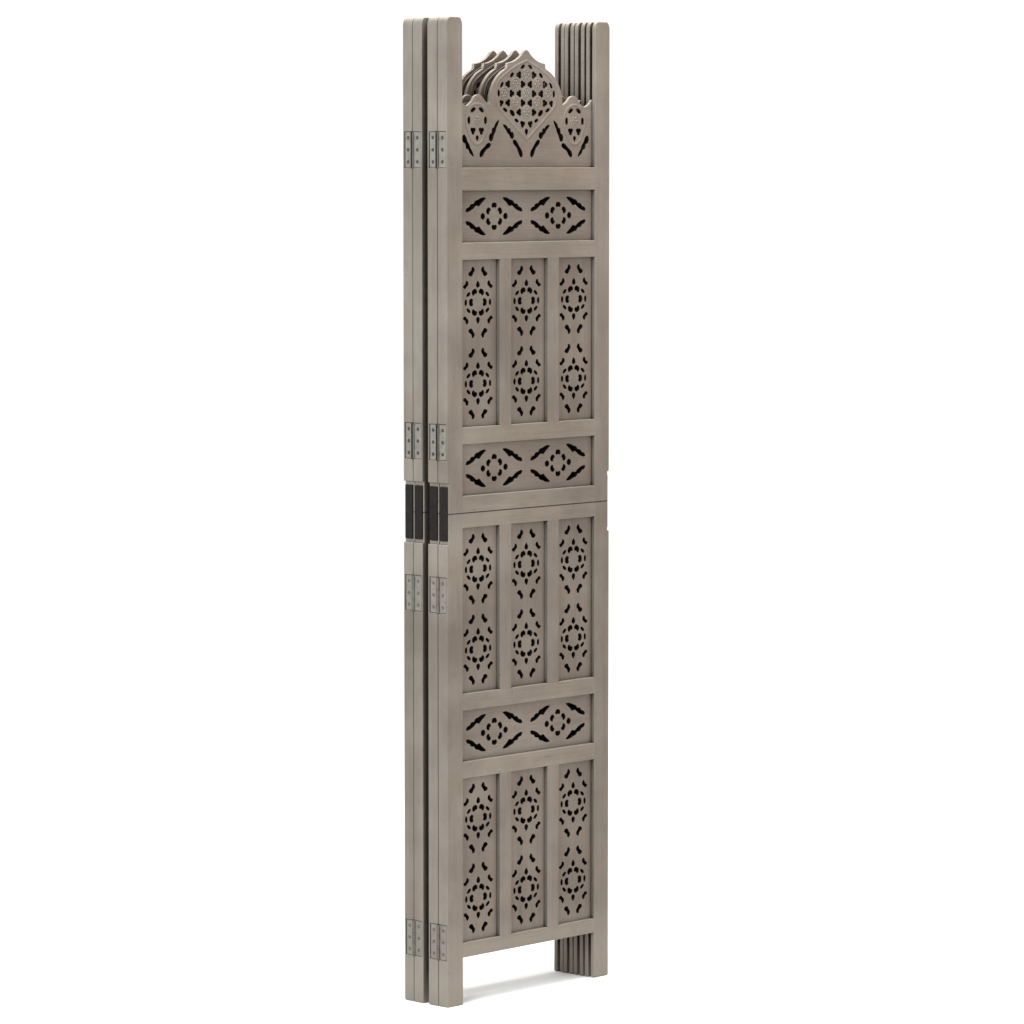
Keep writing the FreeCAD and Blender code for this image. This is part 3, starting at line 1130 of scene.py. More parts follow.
@dataclass
class PiercedBoards:
    """Boards that are sawn through along drawn openings, with edges that are eased by two widths."""

    shapes: CutShapes
    edge_ease: float
    cut_ease: float
    merge: float = 0.004

    def __post_init__(self) -> None:
        """Draw the opening shapes once, and set up the tree that cuts boards with them."""
        self.stencils = bpy.data.collections.new("opening_stencils")
        bpy.context.scene.collection.children.link(self.stencils)
        for cut, loop in self.shapes.loops().items():
            self.stencils.objects.link(poly_curve(f"{cut.value:02d}_{cut.name.lower()}", [loop]))
        self.sheet = self.plan()

    def rim(self, sheet: GeometrySheet, lines: Socket, ease: str) -> Socket:
        """Return lines moved into the wood by a named ease.

        Args:
            sheet: The tree.
            lines: Lines with the wood on their left.
            ease: Name of the input that holds the ease.

        Returns:
            The edge of the flat wood.
        """
        tangent = sheet.add("GeometryNodeInputTangent")
        inputs = {0: sheet.vector(z=1.0), 1: tangent}
        wood_side = sheet.add("ShaderNodeVectorMath", inputs, operation="CROSS_PRODUCT")
        inputs = {0: wood_side, "Scale": sheet.given(ease)}
        shift = sheet.add("ShaderNodeVectorMath", inputs, operation="SCALE")
        return sheet.add("GeometryNodeSetPosition", {"Geometry": lines, "Offset": shift})

    def wall(self, sheet: GeometrySheet, lines: Socket, profile: str) -> Socket:
        """Return the wall along lines, marked as deep everywhere but at the faces.

        Args:
            sheet: The tree.
            lines: Lines with the wood on their left.
            profile: Name of the input that holds the wall's section.

        Returns:
            The wall.
        """
        ends = sheet.add("GeometryNodeCurveEndpointSelection", {"Start Size": 1, "End Size": 1})
        section = sheet.store(sheet.shape(profile), "deep", sheet.math("SUBTRACT", 1.0, ends))
        return sheet.swept(lines, section)

    def plan(self) -> GeometrySheet:
        """Set stencils on points, wood between the lines, and walls along them.

        Returns:
            The tree.
        """
        sheet = GeometrySheet("pierced_boards")
        sheet.offer("NodeSocketObject", "Outlines", "Edge Wall", "Cut Wall")
        sheet.offer("NodeSocketFloat", "Edge Ease", "Cut Ease", "Thickness")
        sheet.offer("NodeSocketCollection", "Stencils")
        inputs = {"Collection": sheet.given("Stencils"), "Separate Children": True, "Reset Children": True}
        stencils = sheet.add("GeometryNodeCollectionInfo", inputs)
        inputs = {
            "Points": sheet.given("Geometry"),
            "Instance": stencils,
            "Pick Instance": True,
            "Instance Index": sheet.attribute("cut", "INT"),
            "Rotation": sheet.vector(z=sheet.attribute("turn", "FLOAT")),
            "Scale": sheet.attribute("stretch", "FLOAT_VECTOR"),
        }
        cuts = sheet.add("GeometryNodeInstanceOnPoints", inputs)
        cuts = sheet.store(sheet.add("GeometryNodeRealizeInstances", {0: cuts}), "sawn", 1.0)
        outlines = sheet.shape("Outlines")
        rims = sheet.join(self.rim(sheet, outlines, "Edge Ease"), self.rim(sheet, cuts, "Cut Ease"))
        front = sheet.add("GeometryNodeFillCurve", {"Curve": rims}, mode="TRIANGLES")
        back = sheet.add("GeometryNodeFlipFaces", {"Mesh": sheet.behind(front)})
        walls = sheet.join(self.wall(sheet, outlines, "Edge Wall"), self.wall(sheet, cuts, "Cut Wall"))
        inputs = {"Geometry": sheet.join(front, back, walls), "Distance": self.merge}
        sheet.close(sheet.add("GeometryNodeMergeByDistance", inputs))
        return sheet

    def profile(self, name: str, ease: float, thickness: float) -> bpy.types.Object:
        """Return the section of a wall: its two rounded edges and the straight between them.

        Args:
            name: Name of the curve.
            ease: Width of the rounding.
            thickness: Thickness of the board.

        Returns:
            The section as an unlinked curve.
        """
        near = ease * (1 - math.sqrt(0.5))
        rounding = [(-ease, 0.0), (-near, near), (0.0, ease)]
        mirrored = [(x, thickness - y) for x, y in reversed(rounding)]
        return poly_curve(name, [rounding + mirrored], closed=False)

    def cut(
        self, name: str, outlines: list[Loop], openings: list[Opening], depth: Span, wood: Material
    ) -> Mesh:
        """Cut boards of one thickness.

        Args:
            name: Name of the mesh.
            outlines: Outline of each board, with the wood on the left of its line.
            openings: Openings of all the boards.
            depth: Front and back of the boards.
            wood: Finish of the boards.

        Returns:
            The boards as one mesh in the panel's own plane.
        """
        points = point_cloud(name, [(o.x, o.z, 0.0) for o in openings])
        fill_attribute(points.data, "cut", "INT", [int(o.cut) for o in openings])
        fill_attribute(points.data, "turn", "FLOAT", [math.radians(o.turn) for o in openings])
        fill_attribute(points.data, "stretch", "FLOAT_VECTOR", [(o.long, o.wide, 1.0) for o in openings])
        drawn = poly_curve(f"{name}_outlines", outlines)
        edge_wall = self.profile(f"{name}_edge_wall", self.edge_ease, depth.length)
        cut_wall = self.profile(f"{name}_cut_wall", self.cut_ease, depth.length)
        mesh = self.sheet.grow(
            points,
            Outlines=drawn,
            Edge_Wall=edge_wall,
            Cut_Wall=cut_wall,
            Edge_Ease=self.edge_ease,
            Cut_Ease=self.cut_ease,
            Thickness=depth.length,
            Stencils=self.stencils,
            Material=wood,
        )
        for helper in (drawn, edge_wall, cut_wall):
            bpy.data.objects.remove(helper)
        return stood(mesh, depth.low)

    def clear(self) -> None:
        """Remove the drawn stencils."""
        for stencil in list(self.stencils.objects):
            bpy.data.objects.remove(stencil)
        bpy.data.collections.remove(self.stencils)


def arc_points(start: Point, through: Point, end: Point, count: int) -> Loop:
    """Return points on the round through three others.

    Args:
        start: First end.
        through: A place on the round.
        end: Second end.
        count: Stretches between the ends.

    Returns:
        The points after the start, up to the end.
    """
    a, b, c = (np.array(p) for p in (start, through, end))
    rows = np.array([b - a, c - a])
    middle = np.linalg.solve(2 * rows, (rows * (rows + 2 * a)).sum(axis=1))
    angles = [math.atan2(*(p - middle)[::-1]) for p in (a, b, c)]
    sweep = (angles[2] - angles[0]) % math.tau
    if (angles[1] - angles[0]) % math.tau > sweep:
        sweep -= math.tau
    radius = float(np.linalg.norm(a - middle))
    return [around(radius, angles[0] + sweep * k / count, tuple(middle)) for k in range(1, count + 1)]


@dataclass(frozen=True)
class UprightPattern:
    """Two alike motifs, one above the other, in every upright board."""

    motif_pitch: float = 135.5
    side_heart_x: float = 16.6
    slant_heart: Point = (8.7, 17.4)
    slant_heart_turn: float = 62.0
    side_slit_x: float = 29.2
    slant_slit: Point = (22.8, 13.4)
    slant: float = 143.0
    drop_height: float = 30.2
    corner_leaf: Point = (15.8, 51.7)
    corner_turn: float = 130.0
    side_leaf: Point = (29.7, 29.9)
    side_turn: float = -46.0
    side_leaf_share: float = 0.84

    def motif(self) -> list[Opening]:
        """Set out one motif about its middle.

        Returns:
            Its openings.
        """
        hearts = both_sides([Opening(Cut.HEART, self.side_heart_x, 0.0)])
        hearts += four_ways([Opening(Cut.HEART, *self.slant_heart, self.slant_heart_turn)])
        slits = both_sides([Opening(Cut.SLIT, self.side_slit_x, 0.0, 90.0)])
        slits += four_ways([Opening(Cut.SLIT, *self.slant_slit, self.slant)])
        drop = Opening(Cut.DROP, 0.0, self.drop_height, 90.0)
        leaves = four_ways([Opening(Cut.LEAF, *self.corner_leaf, self.corner_turn)])
        share = self.side_leaf_share
        leaves += four_ways([Opening(Cut.LEAF_TWIN, *self.side_leaf, self.side_turn, share, share)])
        return hearts + slits + [drop, drop.over()] + leaves

    def middles(self, layout: PanelLayout) -> list[Point]:
        """Return the middle of every motif of a panel.

        Args:
            layout: Sizes of the panel.

        Returns:
            The middles.
        """
        found = []
        for box in layout.uprights:
            x = box.x.inside(layout.inner).middle
            found += [(x, box.z.middle + way * self.motif_pitch / 2) for way in (-1, 1)]
        return found


@dataclass(frozen=True)
class FriezePattern:
    """Two alike motifs, side by side, in every frieze board."""

    motif_pitch: float = 157.5
    side_round: float = 27.5
    slant_heart: Point = (14.4, 9.3)
    slant_heart_turn: float = 33.0
    slant_heart_shares: Point = (0.95, 0.92)
    end_heart: float = 18.6
    end_heart_shares: Point = (0.93, 0.96)
    frond_stalk: Point = (20.0, 30.3)
    frond_tip: Point = (69.0, 8.4)

    def motif(self, shapes: CutShapes) -> list[Opening]:
        """Return the openings of one motif about its middle.

        Args:
            shapes: Sizes of the plain openings.

        Returns:
            The openings.
        """
        holes = both_sides([Opening(Cut.ROUND, self.side_round, 0.0)])
        end = Opening(Cut.HEART, 0.0, self.end_heart, 90.0, *self.end_heart_shares)
        holes += [end, end.over()]
        slanted = Opening(Cut.HEART, *self.slant_heart, self.slant_heart_turn, *self.slant_heart_shares)
        holes += four_ways([slanted])
        size = shapes.frond_size
        frond = leaf_between(Cut.FROND, size, self.frond_stalk, self.frond_tip, size[1])
        return holes + four_ways([frond])

    def middles(self, layout: PanelLayout) -> list[Point]:
        """Return the middle of every motif of a panel."""
        places = [layout.inner.middle + way * self.motif_pitch / 2 for way in (-1, 1)]
        return [(x, box.z.middle) for box in layout.friezes for x in places]


@dataclass(frozen=True)
class CrestPattern:
    """The crest: an ogee arch with lobes beside it, a lattice of rosettes, side rings and long leaves.

    Heights are above the top rail, and places across are from the middle.
    """

    tip: Point = (0.0, 197.5)
    tip_side: Point = (5.5, 194.6)
    hollow: Point = (21.5, 181.6)
    shoulder: Point = (46.0, 174.5)
    step: Point = (47.8, 165.4)
    flank: Point = (75.0, 146.6)
    dip: Point = (90.0, 105.5)
    lobe_rise: Point = (98.0, 109.5)
    lobe_start: Point = (106.0, 117.0)
    lobe_top: Point = (116.5, 121.0)
    lobe_stop: Point = (127.0, 116.5)
    lobe_fall: Point = (135.0, 107.5)
    lobe_end: Point = (143.5, 102.5)
    scallop: Point = (154.5, 106.5)
    edge_height: float = 115.0
    rosette_pitch: float = 31.2
    lattice_middle: float = 123.6
    lattice_rows: int = 3
    star_distance: float = 18.0
    ring_middle: Point = (119.5, 78.4)
    ring_radius: float = 20.0
    ring_bead: float = 27.0
    ring_bead_tail: float = 13.0
    ring_bead_power: int = 6
    ring_beans: tuple[float, ...] = (0.0, 60.0, 120.0, 180.0)
    ring_stars: tuple[float, ...] = (240.0, 300.0)
    ring_drop: float = 48.6
    ring_drop_share: float = 0.8
    border: tuple[Opening, ...] = (
        Opening(Cut.SLIT, 9.0, 168.5, 152.0, 1.05, 1.0),
        Opening(Cut.SLIT, 35.5, 154.5, 140.0, 1.0, 1.1),
        Opening(Cut.SLIT, 60.0, 137.8, 128.0, 1.05, 1.0),
        Opening(Cut.SLIT, 67.6, 123.8, 90.0, 1.1, 1.0),
        Opening(Cut.STAR, 61.0, 107.6, -75.0, 0.9, 0.8),
        Opening(Cut.SLIT, 52.0, 96.2, 27.0, 1.05, 1.0),
        Opening(Cut.SLIT, 34.6, 91.2, 40.0, 1.3, 1.5),
        Opening(Cut.SLIT, 24.2, 78.6, 24.0, 0.95, 1.0),
        Opening(Cut.STAR, 9.4, 72.8, -80.0, 0.95, 0.95),
    )
    foot_drop: Opening = Opening(Cut.DROP, 0.0, 59.6, -90.0, 0.95, 0.9)
    leaves: tuple[tuple[Cut, Point, Point], ...] = (
        (Cut.PLUME, (153.0, 54.0), (127.5, 18.0)),
        (Cut.LEAF_TWIN, (113.0, 18.0), (87.0, 39.5)),
        (Cut.PLUME_TWIN, (88.0, 43.5), (67.0, 79.5)),
        (Cut.PLUME, (32.5, 48.5), (57.5, 72.0)),
        (Cut.LEAF, (11.0, 17.5), (32.5, 46.0)),
    )
    plume_width: float = 12.0
    leaf_width: float = 10.0
    rosette_rim: float = 9.6
    medallion_bead: tuple[Point, ...] = (
        (0.0, 178.5), (28.0, 168.0), (58.0, 151.0), (76.0, 122.0), (66.0, 98.0), (36.0, 74.0), (0.0, 46.0),
    )

    def outline(self, layout: PanelLayout) -> Loop:
        """Return the board's outline with its round stretches.

        Args:
            layout: Sizes of the panel.

        Returns:
            The outline, with the wood on its left.
        """
        box = layout.crest
        base = layout.rails[-1].z.high
        centre = layout.inner.middle
        half = layout.inner.length / 2
        seat = (box.x.length - layout.inner.length) / 2
        right = [self.tip, self.tip_side]
        right += arc_points(self.tip_side, self.hollow, self.shoulder, 8)
        right += [self.step]
        # A place on each arc, its end and the number of straight stretches that draw it.
        arcs = (
            (self.flank, self.dip, 12),
            (self.lobe_rise, self.lobe_start, 4),
            (self.lobe_top, self.lobe_stop, 8),
            (self.lobe_fall, self.lobe_end, 4),
            (self.scallop, (half, self.edge_height), 5),
        )
        for through, end, count in arcs:
            right += arc_points(right[-1], through, end, count)
        right += [(half + seat, self.edge_height), (half + seat, box.z.low - base)]
        left = [(-x, z) for x, z in right[1:]]
        return [(centre + x, base + z) for x, z in right[::-1] + left]

    def rosettes(self) -> list[Point]:
        """Set out the rosettes of the lattice.

        Returns:
            Their places, from the middle and the top rail.
        """
        step = self.rosette_pitch / 2
        rows = range(self.lattice_rows)
        middle = self.lattice_rows - 1
        aside = step * math.sqrt(3)
        return [((i - j) * aside, self.lattice_middle + (i + j - middle) * step) for i in rows for j in rows]

    def openings(self, shapes: CutShapes) -> list[Opening]:
        """Return all the openings, from the middle and the top rail.

        Args:
            shapes: Sizes of the plain openings.

        Returns:
            The openings.
        """
        reach = self.rosette_pitch * math.sqrt(3) / 2 * (self.lattice_rows - 1)
        found = []
        for x, z in self.rosettes():
            if x < reach - TOUCH:
                found.append(Opening(Cut.STAR, x + self.star_distance, z, 0.0))
            if x > TOUCH - reach:
                found.append(Opening(Cut.STAR, x - self.star_distance, z, 180.0))
        found += both_sides(self.border)
        found.append(self.foot_drop)
        for way in (-1, 1):
            x, z = way * self.ring_middle[0], self.ring_middle[1]
            for turn in self.ring_beans + self.ring_stars:
                spot = around(self.ring_radius, math.radians(turn), (x, z))
                star = turn in self.ring_stars
                found.append(Opening(Cut.STAR, *spot, -90.0) if star else Opening(Cut.BEAN, *spot, turn))
            share = self.ring_drop_share
            found.append(Opening(Cut.DROP, x, self.ring_drop, -90.0, share, share))
        leaf, plume = (shapes.leaf_size, self.leaf_width), (shapes.plume_size, self.plume_width)
        for cut, *ends in self.leaves:
            smooth = cut in (Cut.LEAF, Cut.LEAF_TWIN)
            size, width = leaf if smooth else plume
            found += both_sides([leaf_between(cut, size, *ends, width)])
        return found

    def egg(self, turn: float) -> float:
        """Return the distance of the bead round a side ring, which comes to a point below."""
        return self.ring_bead + self.ring_bead_tail * max(0.0, -math.sin(turn)) ** self.ring_bead_power

    def rounds(self) -> list[Point]:
        """Return the middles of every carved round: the lattice's and the side rings'."""
        return self.rosettes() + [(way * self.ring_middle[0], self.ring_middle[1]) for way in (-1, 1)]


@dataclass(frozen=True)
class CarvedRelief:
    """Low carving on both faces of the boards: rosettes of petals, and beads round the motifs."""

    petals: int = 6
    petal_ring: float = 5.2
    petal_length: float = 4.6
    petal_width: float = 3.3
    button: float = 3.0
    relief: float = 1.3
    worn_relief: float = 0.5
    bead: float = 2.4
    bead_rise_share: float = 0.27
    rim: float = 1.1
    rim_rise_share: float = 0.6
    sides: int = 8

    def rosette_sheet(self) -> GeometrySheet:
        """Set a rosette through the board at every point.

        Returns:
            The tree.
        """
        sheet = GeometrySheet("carved_rosettes")
        sheet.offer("NodeSocketFloat", "Ring", "Petal Length", "Petal Width", "Button", "Depth")
        sheet.offer("NodeSocketInt", "Petals")
        inputs = {"Vertices": sheet.given("Petals"), "Radius": sheet.given("Ring")}
        ring = sheet.add("GeometryNodeMeshCircle", inputs)
        inputs = {"Segments": self.sides, "Rings": self.sides, "Radius": 1.0}
        ball = sheet.add("GeometryNodeMeshUVSphere", inputs)
        place = sheet.add("GeometryNodeInputPosition")
        facing = sheet.add("FunctionNodeAlignRotationToVector", {"Vector": place}, axis="X")
        depth = sheet.given("Depth")
        inputs = {
            "Points": ring,
            "Instance": ball,
            "Rotation": facing,
            "Scale": sheet.vector(sheet.given("Petal Length"), sheet.given("Petal Width"), depth),
        }
        petals = sheet.add("GeometryNodeInstanceOnPoints", inputs)
        size = sheet.vector(sheet.given("Button"), sheet.given("Button"), depth)
        button = sheet.add("GeometryNodeTransform", {"Geometry": ball, "Scale": size})
        rosette = sheet.add("GeometryNodeRealizeInstances", {0: sheet.join(petals, button)})
        inputs = {"Points": sheet.given("Geometry"), "Instance": rosette}
        sheet.close(sheet.add("GeometryNodeInstanceOnPoints", inputs))
        return sheet

    def bead_sheet(self) -> GeometrySheet:
        """Lay a half-round bead along lines, on the front and the back of a board.

        Returns:
            The tree.
        """
        sheet = GeometrySheet("carved_beads")
        sheet.offer("NodeSocketFloat", "Bead", "Rise Share", "Thickness")
        inputs = {"Resolution": self.sides, "Radius": sheet.given("Bead")}
        ring = sheet.add("GeometryNodeCurvePrimitiveCircle", inputs)
        inputs = {"Geometry": ring, "Scale": sheet.vector(1.0, sheet.given("Rise Share"), 1.0)}
        section = sheet.add("GeometryNodeTransform", inputs)
        front = sheet.swept(sheet.given("Geometry"), section)
        sheet.close(sheet.join(front, sheet.behind(front)))
        return sheet

    def rosettes(self, middles: list[Point], rise: float, depth: Span, wood: Material) -> Mesh:
        """Carve a rosette at each place.

        Args:
            middles: Middles of the rosettes.
            rise: How far they stand out of the boards.
            depth: Front and back of the boards.
            wood: Finish of the carving.

        Returns:
            The rosettes in the panel's own plane.
        """
        mesh = self.rosette_sheet().grow(
            point_cloud("rosettes", [(x, z, 0.0) for x, z in middles]),
            Ring=self.petal_ring,
            Petal_Length=self.petal_length,
            Petal_Width=self.petal_width,
            Button=self.button,
            Depth=depth.length / 2 + rise,
            Petals=self.petals,
            Material=wood,
        )
        mesh.shade_smooth()
        return stood(mesh, depth.middle)

    def beads(self, loops: list[Loop], size: Point, depth: Span, wood: Material) -> Mesh:
        """Carve a bead along each closed line.

        Args:
            loops: The lines.
            size: Half the bead's width, and the share of it that the bead rises.
            depth: Front and back of the boards.
            wood: Finish of the carving.

        Returns:
            The beads in the panel's own plane.
        """
        mesh = self.bead_sheet().grow(
            poly_curve("beads", loops),
            Bead=size[0],
            Rise_Share=size[1],
            Thickness=depth.length,
            Material=wood,
        )
        mesh.shade_smooth()
        return stood(mesh, depth.low)


@dataclass(frozen=True)
class CarvedBoards:
    """The crest, friezes and upright boards of every panel, with their carving."""

    layout: PanelLayout
    upright: Material
    level: Material
    shapes: CutShapes = CutShapes()
    uprights: UprightPattern = UprightPattern()
    friezes: FriezePattern = FriezePattern()
    crest: CrestPattern = CrestPattern()
    relief: CarvedRelief = CarvedRelief()
    edge_ease: float = 1.1
    cut_ease: float = 0.4
    rim_points: int = 24
    ring_points: int = 48
    arc_stretches: int = 8

    @property
    def depth(self) -> Span:
        """Front and back of every board."""
        return self.layout.crest.y

    def from_crest(self, point: Point) -> Point:
        """Return a place on the panel from one about the crest's foot."""
        return self.layout.inner.middle + point[0], self.layout.rails[-1].z.high + point[1]

    def cut_boards(self) -> dict[str, tuple[Mesh, Material]]:
        """Cut the boards of one panel, in its own plane.

        Returns:
            Boards and their finish by the kind of CAD node.
        """
        layout = self.layout
        plans = {}
        rows = {
            "upright_boards": (layout.uprights, self.uprights, self.uprights.motif(), self.upright),
            "frieze_boards": (layout.friezes, self.friezes, self.friezes.motif(self.shapes), self.level),
        }
        for kind, (boxes, pattern, motif, wood) in rows.items():
            openings = [o.shifted(*middle) for middle in pattern.middles(layout) for o in motif]
            plans[kind] = ([rectangle(box.x, box.z) for box in boxes], openings, wood)
        crest = [o.shifted(*self.from_crest((0.0, 0.0))) for o in self.crest.openings(self.shapes)]
        plans["crest_board"] = ([self.crest.outline(layout)], crest, self.level)
        saw = PiercedBoards(self.shapes, self.edge_ease, self.cut_ease)
        boards = {}
        for kind, (outlines, openings, wood) in plans.items():
            boards[kind] = (saw.cut(kind, outlines, openings, self.depth, wood), wood)
        saw.clear()
        return boards

    def rim_loops(self) -> list[Loop]:
        """Return the rounds about the crest's rosettes."""
        middles = [self.from_crest(p) for p in self.crest.rosettes()]
        return [[around(self.crest.rosette_rim, t, m) for t in turns(self.rim_points)] for m in middles]

    def bead_loops(self) -> list[Loop]:
        """Draw the beads round the crest's side rings and its lattice.

        Returns:
            Their lines.
        """
        loops = []
        ring = polar(self.ring_points, self.crest.egg)
        for way in (-1, 1):
            middle = (way * self.crest.ring_middle[0], self.crest.ring_middle[1])
            loops.append([self.from_crest((middle[0] + x, middle[1] + z)) for x, z in ring])
        corners = self.crest.medallion_bead
        right = [corners[0]]
        for first in range(0, len(corners) - 2, 2):
            right += arc_points(*corners[first:first + 3], self.arc_stretches)
        left = [(-x, z) for x, z in right[-2:0:-1]]
        loops.append([self.from_crest(p) for p in right + left])
        return loops

    def build(self, places: list[PanelPlace]) -> None:
        """Cut the boards once, and set them and their carving into every panel.

        Args:
            places: Places of the panels.
        """
        boards = self.cut_boards()
        worn = self.uprights.middles(self.layout) + self.friezes.middles(self.layout)
        crisp = [self.from_crest(p) for p in self.crest.rounds()]
        relief, wood = self.relief, self.level
        rosettes = [
            relief.rosettes(crisp, relief.relief, self.depth, wood),
            relief.rosettes(worn, relief.worn_relief, self.depth, wood),
        ]
        beads = [
            relief.beads(self.bead_loops(), (relief.bead, relief.bead_rise_share), self.depth, wood),
            relief.beads(self.rim_loops(), (relief.rim, relief.rim_rise_share), self.depth, wood),
        ]
        carving = {
            "carved_rosettes": joined("rosettes", rosettes),
            "carved_beads": joined("beads", beads),
        }
        for place in places:
            for kind, (mesh, wood) in boards.items():
                node = place.node(kind)
                show(f"{node}_pierced", placed(mesh, place), wood, place.body, "pierced_boards", node)
            for kind, mesh in carving.items():
                show(place.node(kind), placed(mesh, place), self.level, place.body, "pierced_boards")


class Run(Enum):
    """Way that a bar runs."""

    ACROSS = "across"
    UP = "up"


@dataclass(frozen=True)
class FrameBars:
    """Rails and muntins with eased edges; rails are grooved where boards enter them."""

    layout: PanelLayout
    upright: Material
    level: Material
    ease: float = 1.3
    groove_play: float = 0.1
    groove_depth: float = 9.0
    corner_steps: int = 3

    def corner(self, middle: Point, start: float) -> Loop:
        """Return a rounded corner about a middle, from a start angle a quarter turn on."""
        angles = [math.radians(start + 90.0 * k / self.corner_steps) for k in range(self.corner_steps + 1)]
        return [around(self.ease, angle, middle) for angle in angles]

    def section(self, wide: Span, tall: Span, groove: Span, low_open: bool, high_open: bool) -> Loop:
        """Return the outline of a bar's end.

        Args:
            wide: From its front to its back.
            tall: From its lower to its upper edge.
            groove: Front and back of the grooves.
            low_open: Whether its lower edge is grooved.
            high_open: Whether its upper edge is grooved.

        Returns:
            The outline.
        """
        e = self.ease
        near, far = groove.low, groove.high
        line = self.corner((wide.low + e, tall.low + e), 180.0)
        if low_open:
            deep = tall.low + self.groove_depth
            line += [(near, tall.low), (near, deep), (far, deep), (far, tall.low)]
        line += self.corner((wide.high - e, tall.low + e), 270.0)
        line += self.corner((wide.high - e, tall.high - e), 0.0)
        if high_open:
            deep = tall.high - self.groove_depth
            line += [(far, tall.high), (far, deep), (near, deep), (near, tall.high)]
        return line + self.corner((wide.low + e, tall.high - e), 90.0)

    def bar(self, name: str, section: Loop, length: Span, run: Run) -> Mesh:
        """Return a bar of one section.

        Args:
            name: Name of the mesh.
            section: Outline of its end: depth and height for a rail, depth and width for a muntin.
            length: Where it begins and ends.
            run: Way that it runs.

        Returns:
            The bar in the panel's own plane.
        """
        count = len(section)
        if run is Run.ACROSS:
            corners = [(end, y, z) for end in (length.low, length.high) for y, z in section]
        else:
            corners = [(x, y, end) for end in (length.low, length.high) for y, x in section]
        faces = [range(count), range(2 * count - 1, count - 1, -1), *ring_faces(2, count)]
        return plain_mesh(name, corners, faces)

    def rails(self, low: float, high: float) -> Mesh:
        """Return the rails between two heights, in the panel's own plane.

        Args:
            low: Lower limit.
            high: Upper limit.

        Returns:
            The rails and their tenons as one mesh.
        """
        layout = self.layout
        wide = Span(0.0, layout.thickness)
        groove = layout.crest.y.grown(self.groove_play)
        made = []
        for rail in layout.rails:
            if not low <= rail.z.middle <= high:
                continue
            edges = [other.z for other in layout.rails]
            touching_low = any(abs(edge.high - rail.z.low) < TOUCH for edge in edges)
            touching_high = any(abs(edge.low - rail.z.high) < TOUCH for edge in edges)
            low_open = not touching_low and rail is not layout.rails[0]
            high_open = not touching_high
            section = self.section(wide, rail.z, groove, low_open, high_open)
            made.append(self.bar("rail", section, layout.inner.grown(self.ease), Run.ACROSS))
            web = Span(rail.z.low + self.groove_depth * low_open, rail.z.high - self.groove_depth * high_open)
            tenon = rectangle(groove, web)
            for side in (Span(rail.x.low, layout.inner.low), Span(layout.inner.high, rail.x.high)):
                made.append(self.bar("tenon", tenon, side, Run.ACROSS))
        return joined("rails", made)

    def muntins(self) -> Mesh:
        """Build the muntins.

        Returns:
            All of them as one mesh in the panel's own plane.
        """
        wide = Span(0.0, self.layout.thickness)
        made = []
        for box in self.layout.muntins:
            section = self.section(wide, box.x, wide, False, False)
            made.append(self.bar("muntin", section, box.z.grown(self.ease), Run.UP))
        return joined("muntins", made)

    def build(self, places: list[PanelPlace]) -> None:
        """Set the rails and muntins into every panel.

        Args:
            places: Places of the panels.
        """
        middle = self.layout.joint
        top = self.layout.rails[-1].z
        kinds = {
            "lower_rails": (self.rails(0.0, middle), self.level),
            "upper_rails": (self.rails(middle, top.low), self.level),
            "top_rail": (self.rails(top.low, top.high), self.level),
            "muntins": (self.muntins(), self.upright),
        }
        for place in places:
            for kind, (mesh, wood) in kinds.items():
                node = place.node(kind)
                show(f"{node}_eased", placed(mesh, place), wood, place.body, "frame_wood", node)


